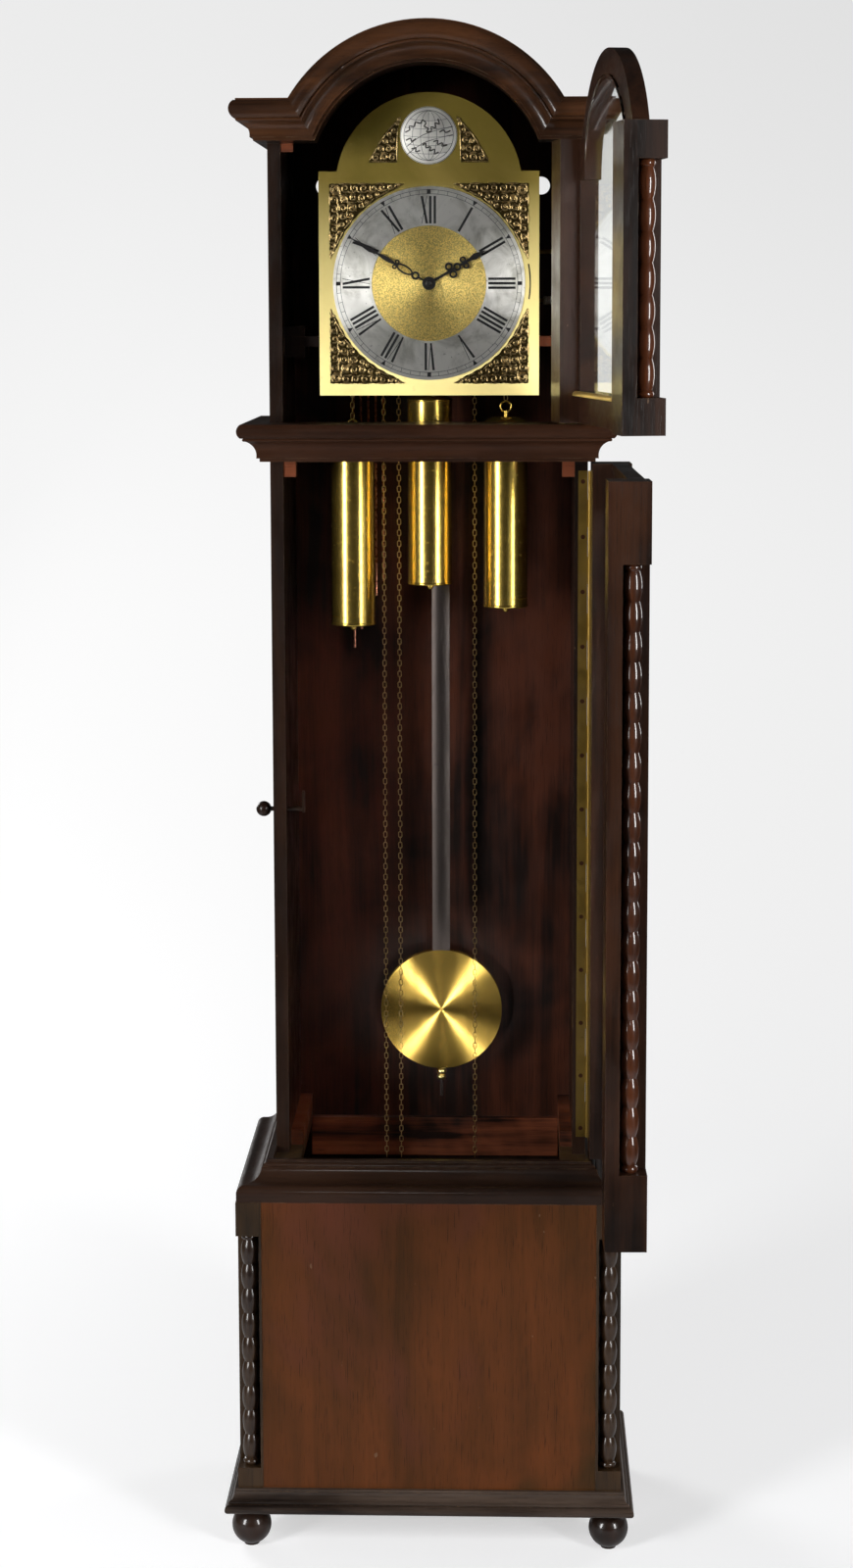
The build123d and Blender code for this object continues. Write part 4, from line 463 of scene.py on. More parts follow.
def wood(name, light, dark, grain="z", figure=0.8, mottle=0.6, wear_and_sheen=0.6, coat=0.35, gloss=0.16,
         specular=0.18, mitre=None, coat_ior=1.5, bloom=0.0):
    """Varnished wood whose grain runs along x, y or z.

    mitre gives (half width, front plane) of the corner at which the grain turns.
    """
    made, tree, shader, place = blank(name)
    turns = {"x": (0, math.pi / 2, 0), "y": (math.pi / 2, 0, 0), "z": (0, 0, 0)}
    vector = add(tree, "Mapping", {"Vector": place, "Rotation": turns[grain]}).outputs[0]
    if mitre:
        half, front = mitre
        parts = add(tree, "SeparateXYZ", {"Vector": place}).outputs
        beside = maths(tree, "SUBTRACT", maths(tree, "ABSOLUTE", parts["X"]), half)
        before = maths(tree, "SUBTRACT", front, parts["Y"])
        at_side = maths(tree, "GREATER_THAN", beside, before)
        other = add(tree, "Mapping", {"Vector": place, "Rotation": turns["y"]}).outputs[0]
        pair = add(tree, "Mix", {"Factor": at_side}, data_type="VECTOR")
        tree.links.new(vector, pair.inputs[4])
        tree.links.new(other, pair.inputs[5])
        vector = pair.outputs[1]
    grains = group_node(tree, "grain", {"Vector": vector, "Light": opaque(light), "Dark": opaque(dark),
                                        "Figure": figure, "Mottle": mottle, "Bloom": bloom})
    rubbed_and_sheen = group_node(tree, "wear_and_sheen", {"Vector": place, "Amount": wear_and_sheen, "Width": EDGE_WIDTH})
    bare_and_sheen = opaque(bpy.context.scene.clock_wood.worn_edge_and_sheen)
    # The rubbed edges take the light worn tone: partly wear and partly a painted highlight along the edges.
    colour = mixed(tree, rubbed_and_sheen["Edge"], grains["Color"], bare_and_sheen)
    colour = mixed(tree, rubbed_and_sheen["Specks"], colour, bare_and_sheen)
    tree.links.new(colour, shader.inputs["Base Color"])
    tree.links.new(grains["Roughness"], shader.inputs["Roughness"])
    worn_gloss = maths(tree, "MULTIPLY", maths(tree, "SUBTRACT", 1.0, rubbed_and_sheen["Edge"]), coat)
    tree.links.new(worn_gloss, shader.inputs["Coat Weight"])
    shader.inputs["Coat Roughness"].default_value = gloss
    shader.inputs["Coat IOR"].default_value = coat_ior
    shader.inputs["Specular IOR Level"].default_value = specular
    bump = add(tree, "Bump", {"Height": grains["Height"], "Strength": 0.25, "Distance": 0.0002})
    tree.links.new(bump.outputs[0], shader.inputs["Normal"])
    return made


def metal(name, colour, dull, rough=(0.22, 0.45), scale=30.0, tarnish=0.5, spin=None, anisotropy=0.0,
          turn=0.0, grit=None, painted_fade=None, metallic=1.0):
    """Brass, silvering or steel with tarnish. spin is the axis that its fine lines run round.

    fade gives (low, high, colour) of a painted shade: the tone turns to that colour between two heights.
    grit gives (grains per metre, height, contrast) of a matted face; the contrast is painted shade in the
    hollows between the grains.
    """
    made, tree, shader, place = blank(name)
    aged = group_node(tree, "patina", {"Vector": place, "Scale": scale, "Amount": tarnish})
    clean = opaque(colour)
    if painted_fade:
        # Painted shade: the tone turns to the shaded colour between the two heights.
        low, high, shaded_tone = painted_fade
        height = add(tree, "SeparateXYZ", {"Vector": place}).outputs["Z"]
        share = add(tree, "MapRange", {"Value": height, "From Min": low,
                                       "From Max": high}).outputs["Result"]
        clean = mixed(tree, share, clean, opaque(shaded_tone))
    tone = mixed(tree, aged["Cloud"], clean, opaque(dull))
    tone = mixed(tree, maths(tree, "MULTIPLY", aged["Spots"], 0.7), tone, opaque([v * 0.4 for v in dull]))
    if grit:
        size, height, contrast = grit
        grains = noise(tree, place, (size, size, size), 2, 0.6)
        # Painted shade: the colour darkens where the grains are low, in the hollows.
        shade = ramp(tree, grains, 0.36, 0.64, 1 - contrast, 1.0)
        grey = add(tree, "CombineColor", {0: shade, 1: shade, 2: shade}).outputs[0]
        tone = mixed(tree, 1.0, tone, grey, "MULTIPLY")
        bump = add(tree, "Bump", {"Height": grains, "Strength": 1.0, "Distance": height})
        tree.links.new(bump.outputs[0], shader.inputs["Normal"])
    tree.links.new(tone, shader.inputs["Base Color"])
    shader.inputs["Metallic"].default_value = metallic
    level = maths(tree, "MULTIPLY_ADD", aged["Grime"], rough[1] - rough[0], rough[0])
    tree.links.new(level, shader.inputs["Roughness"])
    if spin:
        shader.inputs["Anisotropic"].default_value = anisotropy
        shader.inputs["Anisotropic Rotation"].default_value = turn
        lines = add(tree, "Tangent", direction_type="RADIAL", axis=spin)
        tree.links.new(lines.outputs[0], shader.inputs["Tangent"])
    return made


def painted(name, colour, rough, specular=0.5, metallic=0.0):
    """A plain dark finish with slight unevenness in tone and gloss."""
    made, tree, shader, place = blank(name)
    aged = group_node(tree, "patina", {"Vector": place, "Scale": 60.0, "Amount": 0.6})
    tree.links.new(mixed(tree, aged["Cloud"], opaque(colour), opaque([v * 1.8 + 0.004 for v in colour])),
                   shader.inputs["Base Color"])
    tree.links.new(maths(tree, "MULTIPLY_ADD", aged["Grime"], 0.15, rough), shader.inputs["Roughness"])
    shader.inputs["Specular IOR Level"].default_value = specular
    shader.inputs["Metallic"].default_value = metallic
    return made


def clear_glass(name):
    """Thin window glass with a little haze."""
    made, tree, shader, place = blank(name)
    haze = noise(tree, place, (14, 14, 9), 4, 0.6)
    tree.links.new(ramp(tree, haze, 0.3, 0.8, 0.01, 0.06), shader.inputs["Roughness"])
    shader.inputs["Base Color"].default_value = (0.96, 0.985, 0.98, 1)
    shader.inputs["Transmission Weight"].default_value = 1.0
    shader.inputs["IOR"].default_value = 1.12
    return made


def dress(material, *names):
    """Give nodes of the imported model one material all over."""
    for name in names:
        for slot in NODES[name].material_slots:
            slot.link = "OBJECT"
            slot.material = material


# ---------------------------------------------------------------- stage
FLOOR_SIZE = 16.0
WALL_Y = 4.0
WALL_HEIGHT = 7.0
WALL_BEND = 2.4              # how far the curve between floor and wall reaches along each
PAPER_NEAR = (0.62, 0.62, 0.63)
PAPER_FAR = (0.08, 0.08, 0.08)
PAPER_BESIDE = (0.02, 0.02, 0.02)
# The paper glows more on the left than on the right: painted light on the backdrop.
GLOW_LEFT = 0.574
GLOW_RIGHT = 0.49
GLOW_FAR = 0.33              # added away from the clock
# The glow added high up on the wall is negative: painted shade.
GLOW_ALOFT = -0.1            # added high up on the wall
GLOW_BESIDE = 0.84
SKY_SEEN = 0.88
LAMP_AIM = Vector((0, 0, 1.1))
SOFT_LAMPS = (               # place, width and height, share of the left front lamp's power
    ((-2.3, -2.5, 1.55), (0.75, 1.9), 1.0), ((2.3, -2.5, 1.55), (0.55, 1.8), 0.8),
    ((-2.2, 2.7, 1.7), (1.2, 1.6), 0.7), ((2.7, 1.8, 1.7), (0.8, 1.8), 0.25),
)
BOB_LAMPS = (                # place from the bob's middle, share of a side lamp's power, size
    ((-0.72, -2.5, 0.12), 1.0, 0.07), ((0.52, -2.5, 0.08), 1.0, 0.07), ((-0.15, -2.5, 0.7), 0.5, 0.3),
)
BOB_LAMP_CONE = math.radians(4.0)
CAMERA_PLACE = (0.10669, -3.57104, 1.62602)
CAMERA_ANGLES = (1.73415, 6.96978, -0.14481)    # degrees to the left, down and rolled
PICTURE_HEIGHT = 1600        # in pixels, as are the next two
FOCAL_LENGTH = 2779.75
PICTURE_SHIFT = (-3.0, -145.48)
SENSOR = 36


def backdrop():
    """A floor that curves up into a wall behind the clock."""
    bpy.ops.object.select_all(action="DESELECT")
    bpy.ops.mesh.primitive_plane_add(size=FLOOR_SIZE, location=(0, WALL_Y - FLOOR_SIZE / 2, 0))
    floor = settle(bpy.context.object)
    floor.name = "floor"

    def select_edges(wanted):
        for edge in floor.data.edges:
            edge.select = all(wanted(floor.data.vertices[i].co) for i in edge.vertices)

    bpy.ops.object.mode_set(mode="EDIT")
    bpy.ops.mesh.select_all(action="DESELECT")
    bpy.ops.object.mode_set(mode="OBJECT")
    for vertex in floor.data.vertices:
        vertex.select = vertex.co.y > WALL_Y - 0.1
    select_edges(lambda at: at.y > WALL_Y - 0.1)
    bpy.ops.object.mode_set(mode="EDIT")
    bpy.ops.mesh.extrude_edges_move(TRANSFORM_OT_translate={"value": (0, 0, WALL_HEIGHT)})
    bpy.ops.object.mode_set(mode="OBJECT")
    select_edges(lambda at: at.y > WALL_Y - 0.1 and at.z < 0.1)
    bpy.ops.object.mode_set(mode="EDIT")
    bpy.ops.mesh.bevel(offset=WALL_BEND, segments=16)
    bpy.ops.object.mode_set(mode="OBJECT")
    bpy.ops.object.shade_smooth()
    floor.data.materials.append(paper())


def paper():
    """Pale paper that glows a little to the camera and is clear from behind."""
    material, tree, shader, place = blank("paper")
    parts = add(tree, "SeparateXYZ", {"Vector": place}).outputs

    def distance(x, y):
        flat = add(tree, "CombineXYZ", {"X": x, "Y": y}).outputs[0]
        return add(tree, "VectorMath", {0: flat}, operation="LENGTH").outputs["Value"]

    far = ramp(tree, distance(parts["X"], parts["Y"]), 0.8, 3.4)
    before = maths(tree, "MINIMUM", parts["Y"], 0.0)
    beside = ramp(tree, distance(parts["X"], before), 1.0, 2.2)
    pale = mixed(tree, far, opaque(PAPER_NEAR), opaque(PAPER_FAR))
    tree.links.new(mixed(tree, beside, pale, opaque(PAPER_BESIDE)), shader.inputs["Base Color"])
    shader.inputs["Roughness"].default_value = 0.7
    shader.inputs["Specular IOR Level"].default_value = 0.2
    # Painted light on the paper: it glows more on the left, and less high up on the wall.
    across = ramp(tree, parts["X"], -1.2, 1.2, GLOW_LEFT, GLOW_RIGHT)
    glow = maths(tree, "ADD", across, ramp(tree, parts["Z"], 0.8, 2.6, 0, GLOW_ALOFT))
    glow = maths(tree, "MULTIPLY_ADD", far, GLOW_FAR, glow)
    glow = add(tree, "Mix", {"Factor": beside, 2: glow, 3: GLOW_BESIDE}, data_type="FLOAT").outputs[0]
    tree.links.new(maths(tree, "MULTIPLY", seen_straight(tree), glow), shader.inputs["Emission Strength"])
    shader.inputs["Emission Color"].default_value = (1, 1, 1, 1)
    behind = add(tree, "NewGeometry").outputs["Backfacing"]
    clear = add(tree, "BsdfTransparent").outputs[0]
    either = add(tree, "MixShader", {0: behind, 1: shader.outputs[0], 2: clear}).outputs[0]
    tree.links.new(either, tree.nodes["Material Output"].inputs["Surface"])
    return material


def seen_straight(tree):
    """1 for what the camera sees directly or through glass, and 0 for the light on the clock."""
    rays = add(tree, "LightPath").outputs
    return maths(tree, "MAXIMUM", rays["Is Camera Ray"], rays["Is Transmission Ray"])


def surroundings(strength):
    """White light from all round, weaker from the front."""
    world = bpy.data.worlds.new("surroundings")
    world.use_nodes = True
    tree = world.node_tree
    way = add(tree, "TexCoord").outputs["Generated"]
    parts = add(tree, "SeparateXYZ", {"Vector": way}).outputs
    level = maths(tree, "MULTIPLY", ramp(tree, parts["Y"], -0.75, 0.15, 0.4, 1.0), strength)
    pair = add(tree, "Mix", {"Factor": seen_straight(tree), 2: level, 3: SKY_SEEN}, data_type="FLOAT")
    back = tree.nodes["Background"]
    back.inputs["Color"].default_value = (1, 1, 1, 1)
    tree.links.new(pair.outputs[0], back.inputs["Strength"])
    return world


def hang_lamp(data, place, target):
    """Put a lamp at its place and turn it to its target."""
    lamp = bpy.data.objects.new(data.name, data)
    lamp.location = place
    lamp.rotation_euler = (target - lamp.location).to_track_quat("-Z", "Y").to_euler()
    bpy.context.scene.collection.objects.link(lamp)


def light(settings):
    for place, size, share in SOFT_LAMPS:
        data = bpy.data.lights.new("soft_lamp", "AREA")
        data.shape = "RECTANGLE"
        data.size, data.size_y = size
        data.energy = settings.lamps * share
        hang_lamp(data, place, LAMP_AIM)
    bob = (BOB_LOW + BOB_HIGH) / 2
    for away, share, size in BOB_LAMPS:
        data = bpy.data.lights.new("bob_spot", "SPOT")
        data.energy = settings.spots * share
        data.spot_size = BOB_LAMP_CONE
        data.spot_blend = 0.4
        data.shadow_soft_size = size
        hang_lamp(data, bob + Vector(away), bob)


def camera():
    yaw, down, roll = (math.radians(angle) for angle in CAMERA_ANGLES)
    right = Vector((math.cos(yaw), math.sin(yaw), 0))
    ahead = Vector((-math.sin(yaw), math.cos(yaw), 0))
    plumb = Vector((0, 0, 1))
    forward = ahead * math.cos(down) - plumb * math.sin(down)
    up = plumb * math.cos(down) + ahead * math.sin(down)
    rolled_right = right * math.cos(roll) + up * math.sin(roll)
    rolled_up = up * math.cos(roll) - right * math.sin(roll)
    data = bpy.data.cameras.new("Camera")
    data.sensor_width = SENSOR
    data.lens = FOCAL_LENGTH / PICTURE_HEIGHT * SENSOR
    data.shift_x, data.shift_y = (shift / PICTURE_HEIGHT for shift in PICTURE_SHIFT)
    view = bpy.data.objects.new("Camera", data)
    turn = Matrix((rolled_right, rolled_up, -forward)).transposed().to_4x4()
    view.matrix_world = Matrix.Translation(CAMERA_PLACE) @ turn
    bpy.context.scene.collection.objects.link(view)
    return view


class CLOCK_OT_stage(bpy.types.Operator):
    """Floor, backdrop, soft lamps, surroundings and camera"""

    bl_idname = "clock.stage"
    bl_label = "Stage"

    def execute(self, context):
        scene = context.scene
        backdrop()
        scene.world = surroundings(scene.clock_light.sky)
        light(scene.clock_light)
        scene.camera = camera()
        scene.view_settings.view_transform = "Standard"
        return {"FINISHED"}


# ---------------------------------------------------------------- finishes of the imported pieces
class CLOCK_OT_wood(bpy.types.Operator):
    """Stained and varnished finish of the case, the doors and the columns"""

    bl_idname = "clock.wood"
    bl_label = "Woodwork"

    def execute(self, context):
        tones = context.scene.clock_wood
        case = (tones.case, tones.case_dark)
        dress(wood("case_upright", *case), "side_panels", "base_side_panels", "arch_head", "hood_roof",
              "latch")
        dress(wood("posts", tones.post, tones.post_dark), "corner_posts")
        door = (tones.door, tones.case_dark)
        dress(wood("door_upright", *door), "hood_door_stiles", "trunk_door_stiles")
        dress(wood("door_across", *door, grain="y"), "trunk_door_frame", "hood_door_frame")
        # The mouldings get more rubbed edges, whose light lines are partly painted highlights.
        for name, tone, corner, coat in (
                ("plinth_moulding", tones.plinth, BASE_CORNER, 0.5),
                ("lower_moulding", tones.case, TRUNK_CORNER, 0.5),
                ("waist_moulding", tones.door, TRUNK_CORNER, 0.05),
                ("cornice_moulding", tones.cornice, TRUNK_CORNER, 0.5)):
            dress(wood(name + "_wood", tone, tones.case_dark, grain="x", mitre=corner, wear_and_sheen=0.9, coat=coat,
                       gloss=0.12, specular=0.12), name)
        dress(wood("base_panel", tones.panel, tones.panel_dark, figure=0.38, mottle=1.4, coat=0.14,
                   gloss=0.3, specular=0.1, bloom=1.0), "base_front_panel")
        dress(wood("inside", tones.inside, tones.inside_dark, mottle=1.3, coat=0.15, gloss=0.3,
                   specular=0.15, wear_and_sheen=0.3), "back_board")
        dress(wood("blocks", tones.block, tones.post_dark, coat=0.1, specular=0.2, wear_and_sheen=0.5),
              "base_top_frame", "gong_block")
        dress(wood("inside_across", tones.rail, tones.inside_dark, grain="x", mottle=1.7, coat=0.1,
                   specular=0.2, wear_and_sheen=0.3), "base_floor", "seat_board", "seat_brackets", "glue_blocks")
        dress(wood("turned_columns", tones.column, tones.column_dark, figure=0.9, coat=1.0, gloss=0.05,
                   wear_and_sheen=0.15, coat_ior=1.55), "trunk_door_columns")
        dress(wood("hood_turnings", tones.turned, tones.column, figure=0.9, coat=1.0, gloss=0.05,
                   wear_and_sheen=0.15), "hood_door_columns")
        dress(wood("base_turnings", tones.post, tones.column_dark, figure=0.9, coat=0.8, gloss=0.2,
                   wear_and_sheen=0.15), "base_columns")
        dress(wood("ball_feet_wood", tones.case, tones.case_dark, coat=0.8, gloss=0.12, wear_and_sheen=0.5),
              "ball_feet")
        return {"FINISHED"}


class CLOCK_OT_metal(bpy.types.Operator):
    """Brass, silvering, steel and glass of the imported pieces"""

    bl_idname = "clock.metal"
    bl_label = "Metalwork and glass"

    def execute(self, context):
        tones = context.scene.clock_metal
        muted = [v * 0.62 for v in tones.brass]
        brass = metal("brass", tones.brass, tones.tarnish, scale=12, tarnish=0.3)
        dress(brass, "movement_plates", "movement_pillars", "crutch", "rating_nut")
        dress(metal("leaf_brass", (0.95, 0.68, 0.2), tones.tarnish, rough=(0.3, 0.42), scale=9, tarnish=0.3,
                    metallic=0.8), "hood_case_leaves", "hood_door_leaves", "hood_door_bead")
        dress(metal("hinge_brass", (0.27, 0.175, 0.04), tones.tarnish, rough=(0.4, 0.55), scale=9,
                    tarnish=0.7), "piano_hinge_case_leaf", "piano_hinge_door_leaf")
        # The dial plate darkens towards its top: painted shade, for the dark surroundings that its upper
        # part reflects.
        dress(metal("dial_brass", (0.95, 0.79, 0.32), (0.34, 0.24, 0.07), rough=(0.44, 0.52), scale=7,
                    tarnish=0.15, spin="X", anisotropy=0.85, turn=0.25, metallic=0.7,
                    painted_fade=(1.55, 1.79, (0.105, 0.075, 0.004))), "dial_plate")
        dress(metal("silvering", tones.silver, (0.42, 0.41, 0.34), rough=(0.3, 0.42), scale=20,
                    tarnish=0.8, spin="Y", anisotropy=0.88, turn=0.25, metallic=0.72), "chapter_ring")
        dress(metal("globe_silvering", tones.silver, [v * 0.6 for v in tones.silver], rough=(0.4, 0.55),
                    scale=30, tarnish=0.3), "globe_boss")
        dress(metal("matted_gold", tones.gold, [v * 0.6 for v in tones.gold], rough=(0.35, 0.5), scale=20,
                    tarnish=0.2, spin="Y", anisotropy=0.75, turn=0.25, grit=(780, 0.0005, 0.5)),
              "dial_centre")
        dress(metal("weight_brass", (0.68, 0.47, 0.1), (0.42, 0.27, 0.05), rough=(0.2, 0.28), scale=45,
                    tarnish=0.45, metallic=0.95), "left_weight", "centre_weight", "right_weight")
        dress(metal("bob_brass", (0.95, 0.62, 0.13), tones.tarnish, rough=(0.21, 0.27), scale=10,
                    tarnish=0.02, spin="Y", anisotropy=0.97, turn=0.25), "pendulum_bob")
        dress(metal("old_brass", muted, tones.tarnish, rough=(0.3, 0.5), scale=40,
                    tarnish=0.7), "left_sprocket", "centre_sprocket", "right_sprocket")
        dress(metal("coppered_steel", tones.copper, [v * 0.5 for v in tones.copper], scale=60), "gong_rods")
        dress(painted("black_lacquer", (0.012, 0.011, 0.011), 0.3), "minute_hand", "hour_hand", "hand_nut")
        dress(metal("dark_steel", (0.078, 0.064, 0.058), (0.04, 0.034, 0.032), rough=(0.4, 0.46),
                    scale=5, tarnish=0.3), "pendulum_rod")
        dress(clear_glass("glass"), "hood_door_glass", "trunk_door_glass")
        return {"FINISHED"}


# ---------------------------------------------------------------- dial work
HOURS = ("XII", "I", "II", "III", "IIII", "V", "VI", "VII", "VIII", "IX", "X", "XI")
LETTER_WIDTHS = {"I": 0.0058, "V": 0.0088, "X": 0.0096}
V_FOOT = 0.0006              # how far a V's foot stands beside its middle
QUARTER_HALF = 0.0024        # half width of the mark at a quarter of the hour
FIVE_HALF = 0.003            # half width of a five minutes' mark at its outer end
FIVE_POINT = 0.0002          # and at its point
WAX_THICK = 0.00012


def stroke(low, high, width_low, width_high, inner, outer):
    """A radial stroke between two heights, each with its own sideways place and width."""
    return flat_shape([(low - width_low / 2, inner), (low + width_low / 2, inner),
                       (high + width_high / 2, outer), (high - width_high / 2, outer)])


def numeral(text, dial):
    """The strokes of one numeral, drawn upright above the dial's centre."""
    thick, thin = dial.stroke, dial.hairline * 1.4
    ends = (dial.numeral_inner, dial.numeral_outer)
    x = -sum(LETTER_WIDTHS[letter] for letter in text) / 2
    made = []
    for letter in text:
        middle = x + LETTER_WIDTHS[letter] / 2
        reach = LETTER_WIDTHS[letter] / 2 - thick / 2
        if letter == "I":
            made.append(stroke(middle, middle, thick, thick, *ends))
        elif letter == "V":
            foot = middle + V_FOOT
            made.append(stroke(foot, middle - reach, thick * 0.75, thick, *ends))
            made.append(stroke(foot, middle + reach + thick / 3, thin, thin, *ends))
        else:
            made.append(stroke(middle + reach, middle - reach, thick, thick, *ends))
            made.append(stroke(middle - reach, middle + reach, thin, thin, *ends))
        x += LETTER_WIDTHS[letter]
    return joined(made, "numeral")


def minute_mark(minute, dial):
    """A square at the quarters, a wedge at each five minutes and else a thin line."""
    low, high = dial.track_inner, dial.track_outer
    if minute % 15 == 0:
        half, point = QUARTER_HALF, QUARTER_HALF
        high += 0.0006
    elif minute % 5 == 0:
        half, point = FIVE_HALF, FIVE_POINT
        low -= 0.0004
        high += 0.0008
    else:
        half = point = dial.hairline * 0.45
    return flat_shape([(-point, low), (point, low), (half, high), (-half, high)])


class CLOCK_OT_dial_marks(bpy.types.Operator):
    """Numerals and minute track in black wax on the chapter ring"""

    bl_idname = "clock.dial_marks"
    bl_label = "Numerals and minute track"

    def execute(self, context):
        dial = context.scene.clock_dial
        bpy.ops.object.select_all(action="DESELECT")
        pieces = [band(dial.track_outer, dial.hairline), band(dial.track_inner, dial.hairline)]
        marks = [(numeral(text, dial), hour / 12) for hour, text in enumerate(HOURS)]
        marks += [(minute_mark(minute, dial), minute / 60) for minute in range(60)]
        for mark, share in marks:
            mark.data.transform(Matrix.Rotation(TURN * share, 4, "Y"))
            pieces.append(mark)
        made = joined(pieces, "numerals")
        outward(made)
        made.data.transform(Matrix.Translation((DIAL_X, RING_FRONT - 0.00002, DIAL_Z)))
        modify(made, "SOLIDIFY", thickness=WAX_THICK, offset=0)
        wax = painted("black_wax", (0.006, 0.006, 0.006), 0.4)
        finish_piece(made, "case", wax)
        return {"FINISHED"}


def scroll(place, radius, start, sweep, thick, front):
    """A spiral wire on the dial: it winds inwards from its radius to a fifth of it, and gets thinner."""
    steps = 11
    points = []
    for i in range(steps):
        share = i / (steps - 1)
        angle = start + sweep * share
        reach = radius * (1 - 0.8 * share)
        points.append((place[0] + reach * math.cos(angle), front, place[1] + reach * math.sin(angle),
                       0.45 + 0.75 * math.sin(math.pi * min(1, 0.15 + share))))
    return wire_path(points, thick)


def leaf(start, bend, end, thick, front):
    """A swelling leaf stroke on the dial, pointed at both ends."""
    points = [(start[0], front, start[1], 0.15), (bend[0], front, bend[1], 1.3),
              (end[0], front, end[1], 0.1)]
    return wire_path(points, thick)


SPANDREL_MARGIN = 0.015      # from the dial's edges
SPANDREL_LEG = 0.0955        # length of a corner spandrel along the dial's edge
SPANDREL_GAP = 0.0025        # between a corner spandrel and the chapter ring
SPANDREL_THICK = 0.0009      # of the plate under the scrolls
SCROLL_WIRE = 0.0024
LEAF_WIRE = 0.0030

# Scrolls and leaves are in mm. Corners are drawn from their outer corner, wings from the globe's centre.
CORNER_SCROLLS = (           # place, radius, start and sweep in turns
    ((8, 8), 7, 0.6, 1.4), ((21, 6.5), 5.8, 0.1, 1.3), ((33, 6.5), 5.4, 0.6, -1.3),
    ((45, 6.5), 5.6, 0.1, 1.3), ((57.5, 6.5), 5.4, 0.6, -1.3), ((69, 5.5), 4.6, 0.1, 1.2),
    ((79, 4.6), 3.6, 0.6, -1.2), ((87, 3.6), 2.6, 0.1, 1.2), ((20, 20), 6, 0.35, 1.4),
    ((31.5, 18), 5.4, 0.85, -1.4), ((42.5, 18.5), 5, 0.35, 1.3), ((53, 16.5), 4, 0.85, -1.3),
    ((62.5, 14), 2.8, 0.3, 1.2), ((31, 30), 5, 0.3, -1.4), ((41, 28), 3.8, 0.8, 1.2),
    ((49, 24.5), 2.8, 0.2, 1.2),
)
CORNER_LEAVES = (            # start, bend and end
    ((88, 1), (93, 2.6), (97, 0.8)), ((12, 12), (24, 22), (37, 37)), ((36, 9), (39, 13), (47, 12)),
    ((49, 9), (54, 13), (60, 10)), ((24, 10), (27, 13), (34, 11)), ((63, 9), (68, 11), (75, 8)),
    ((36, 22), (38, 25), (45, 22)), ((13, 1), (21, 0.6), (29, 1)), ((37, 1), (45, 0.6), (53, 1)),
    ((60, 1), (68, 0.6), (76, 1)), ((25, 24), (29, 24), (36, 24)), ((45, 30), (52, 25), (58, 19)),
    ((60, 19), (69, 13.5), (78, 10)), ((76, 9.5), (84, 6), (92, 2.5)), ((14, 4), (15, 12), (13, 18)),
)
WING_SCROLLS = (
    ((-68, -27), 5.6, 0.1, 1.4), ((-57, -27), 5.4, 0.6, -1.4), ((-46.5, -27), 5, 0.1, 1.3),
    ((-62, -16.5), 4.6, 0.9, 1.3), ((-52, -16), 5, 0.3, -1.3), ((-44, -16), 3.4, 0.9, 1.3),
    ((-56, -7), 4, 0.9, 1.3), ((-47, -5.5), 4.4, 0.4, -1.3), ((-50.5, 2.5), 3.4, 0.4, 1.3),
    ((-44.5, 7), 3.8, 0.9, -1.2), ((-41, 15), 2.8, 0.9, 1.2), ((-38, 21), 2, 0.4, 1.2),
)
WING_LEAVES = (
    ((-76, -31), (-70, -22), (-66, -14)), ((-66, -14), (-60, -3), (-52, 6)),
    ((-52, 6), (-45, 14), (-36, 24)), ((-76, -33), (-62, -32), (-42, -33)),
    ((-41, -31), (-41, -10), (-40, 10)), ((-62, -22), (-57, -20), (-52, -23)),
)
WING_EDGE = ((-77, -34), (-60, -34), (-41, -34), (-41.5, -12), (-40, 6), (-35.5, 25), (-44, 16.5), (-52, 8),
             (-60, -2), (-67, -14), (-73, -25))


def thin_plate(points, thick):
    """A flat plate on the dial with an outline through points of (x, z)."""
    bpy.ops.curve.primitive_nurbs_path_add(location=(0, 0, 0), rotation=(math.pi / 2, 0, 0))
    made = bpy.context.object
    data = made.data
    data.splines.clear()
    spline = data.splines.new("POLY")
    spline.points.add(len(points) - 1)
    for point, (x, z) in zip(spline.points, points):
        point.co = (x, z, 0, 1)
    spline.use_cyclic_u = True
    data.dimensions = "2D"
    data.fill_mode = "BOTH"
    data.extrude = thick / 2
    pick(made)
    bpy.ops.object.convert(target="MESH")
    return settle(bpy.context.object)


def metres(points):
    return [[v / 1000 for v in point] for point in points]


def cast(scrolls, leaves, name):
    """Scrolls and leaves standing on the front of a spandrel's plate."""
    made = []
    for place, radius, start, sweep in scrolls:
        centre = metres([place])[0]
        made.append(scroll(centre, radius / 1000, TURN * start, TURN * sweep, SCROLL_WIRE, -SPANDREL_THICK))
    for points in leaves:
        made.append(leaf(*metres(points), LEAF_WIRE, -SPANDREL_THICK))
    return joined(made, name)


def corner_edge(middle):
    """Outline of a corner plate, given how far the ring's centre is from the spandrel's corner."""
    reach = (RING_HIGH.x - RING_LOW.x) / 2 + SPANDREL_GAP
    start = math.asin((middle - SPANDREL_LEG) / reach)
    steps = 40
    arc = []
    for i in range(steps + 1):
        share = i / steps
        angle = start + (math.pi / 2 - 2 * start) * share
        scallop = 0.0011 * (1 - math.cos(TURN * 9 * share)) / 2
        flare = 0.0045 * abs(2 * share - 1) ** 8
        wave = reach + scallop + flare
        arc.append((middle - wave * math.sin(angle), middle - wave * math.cos(angle)))
    edge = [(SPANDREL_LEG * i / steps, 0.0006 + 0.0005 * math.cos(TURN * 12 * i / steps))
            for i in range(steps)]
    return [*edge, *arc, *[(z, x) for x, z in reversed(edge[1:])]]


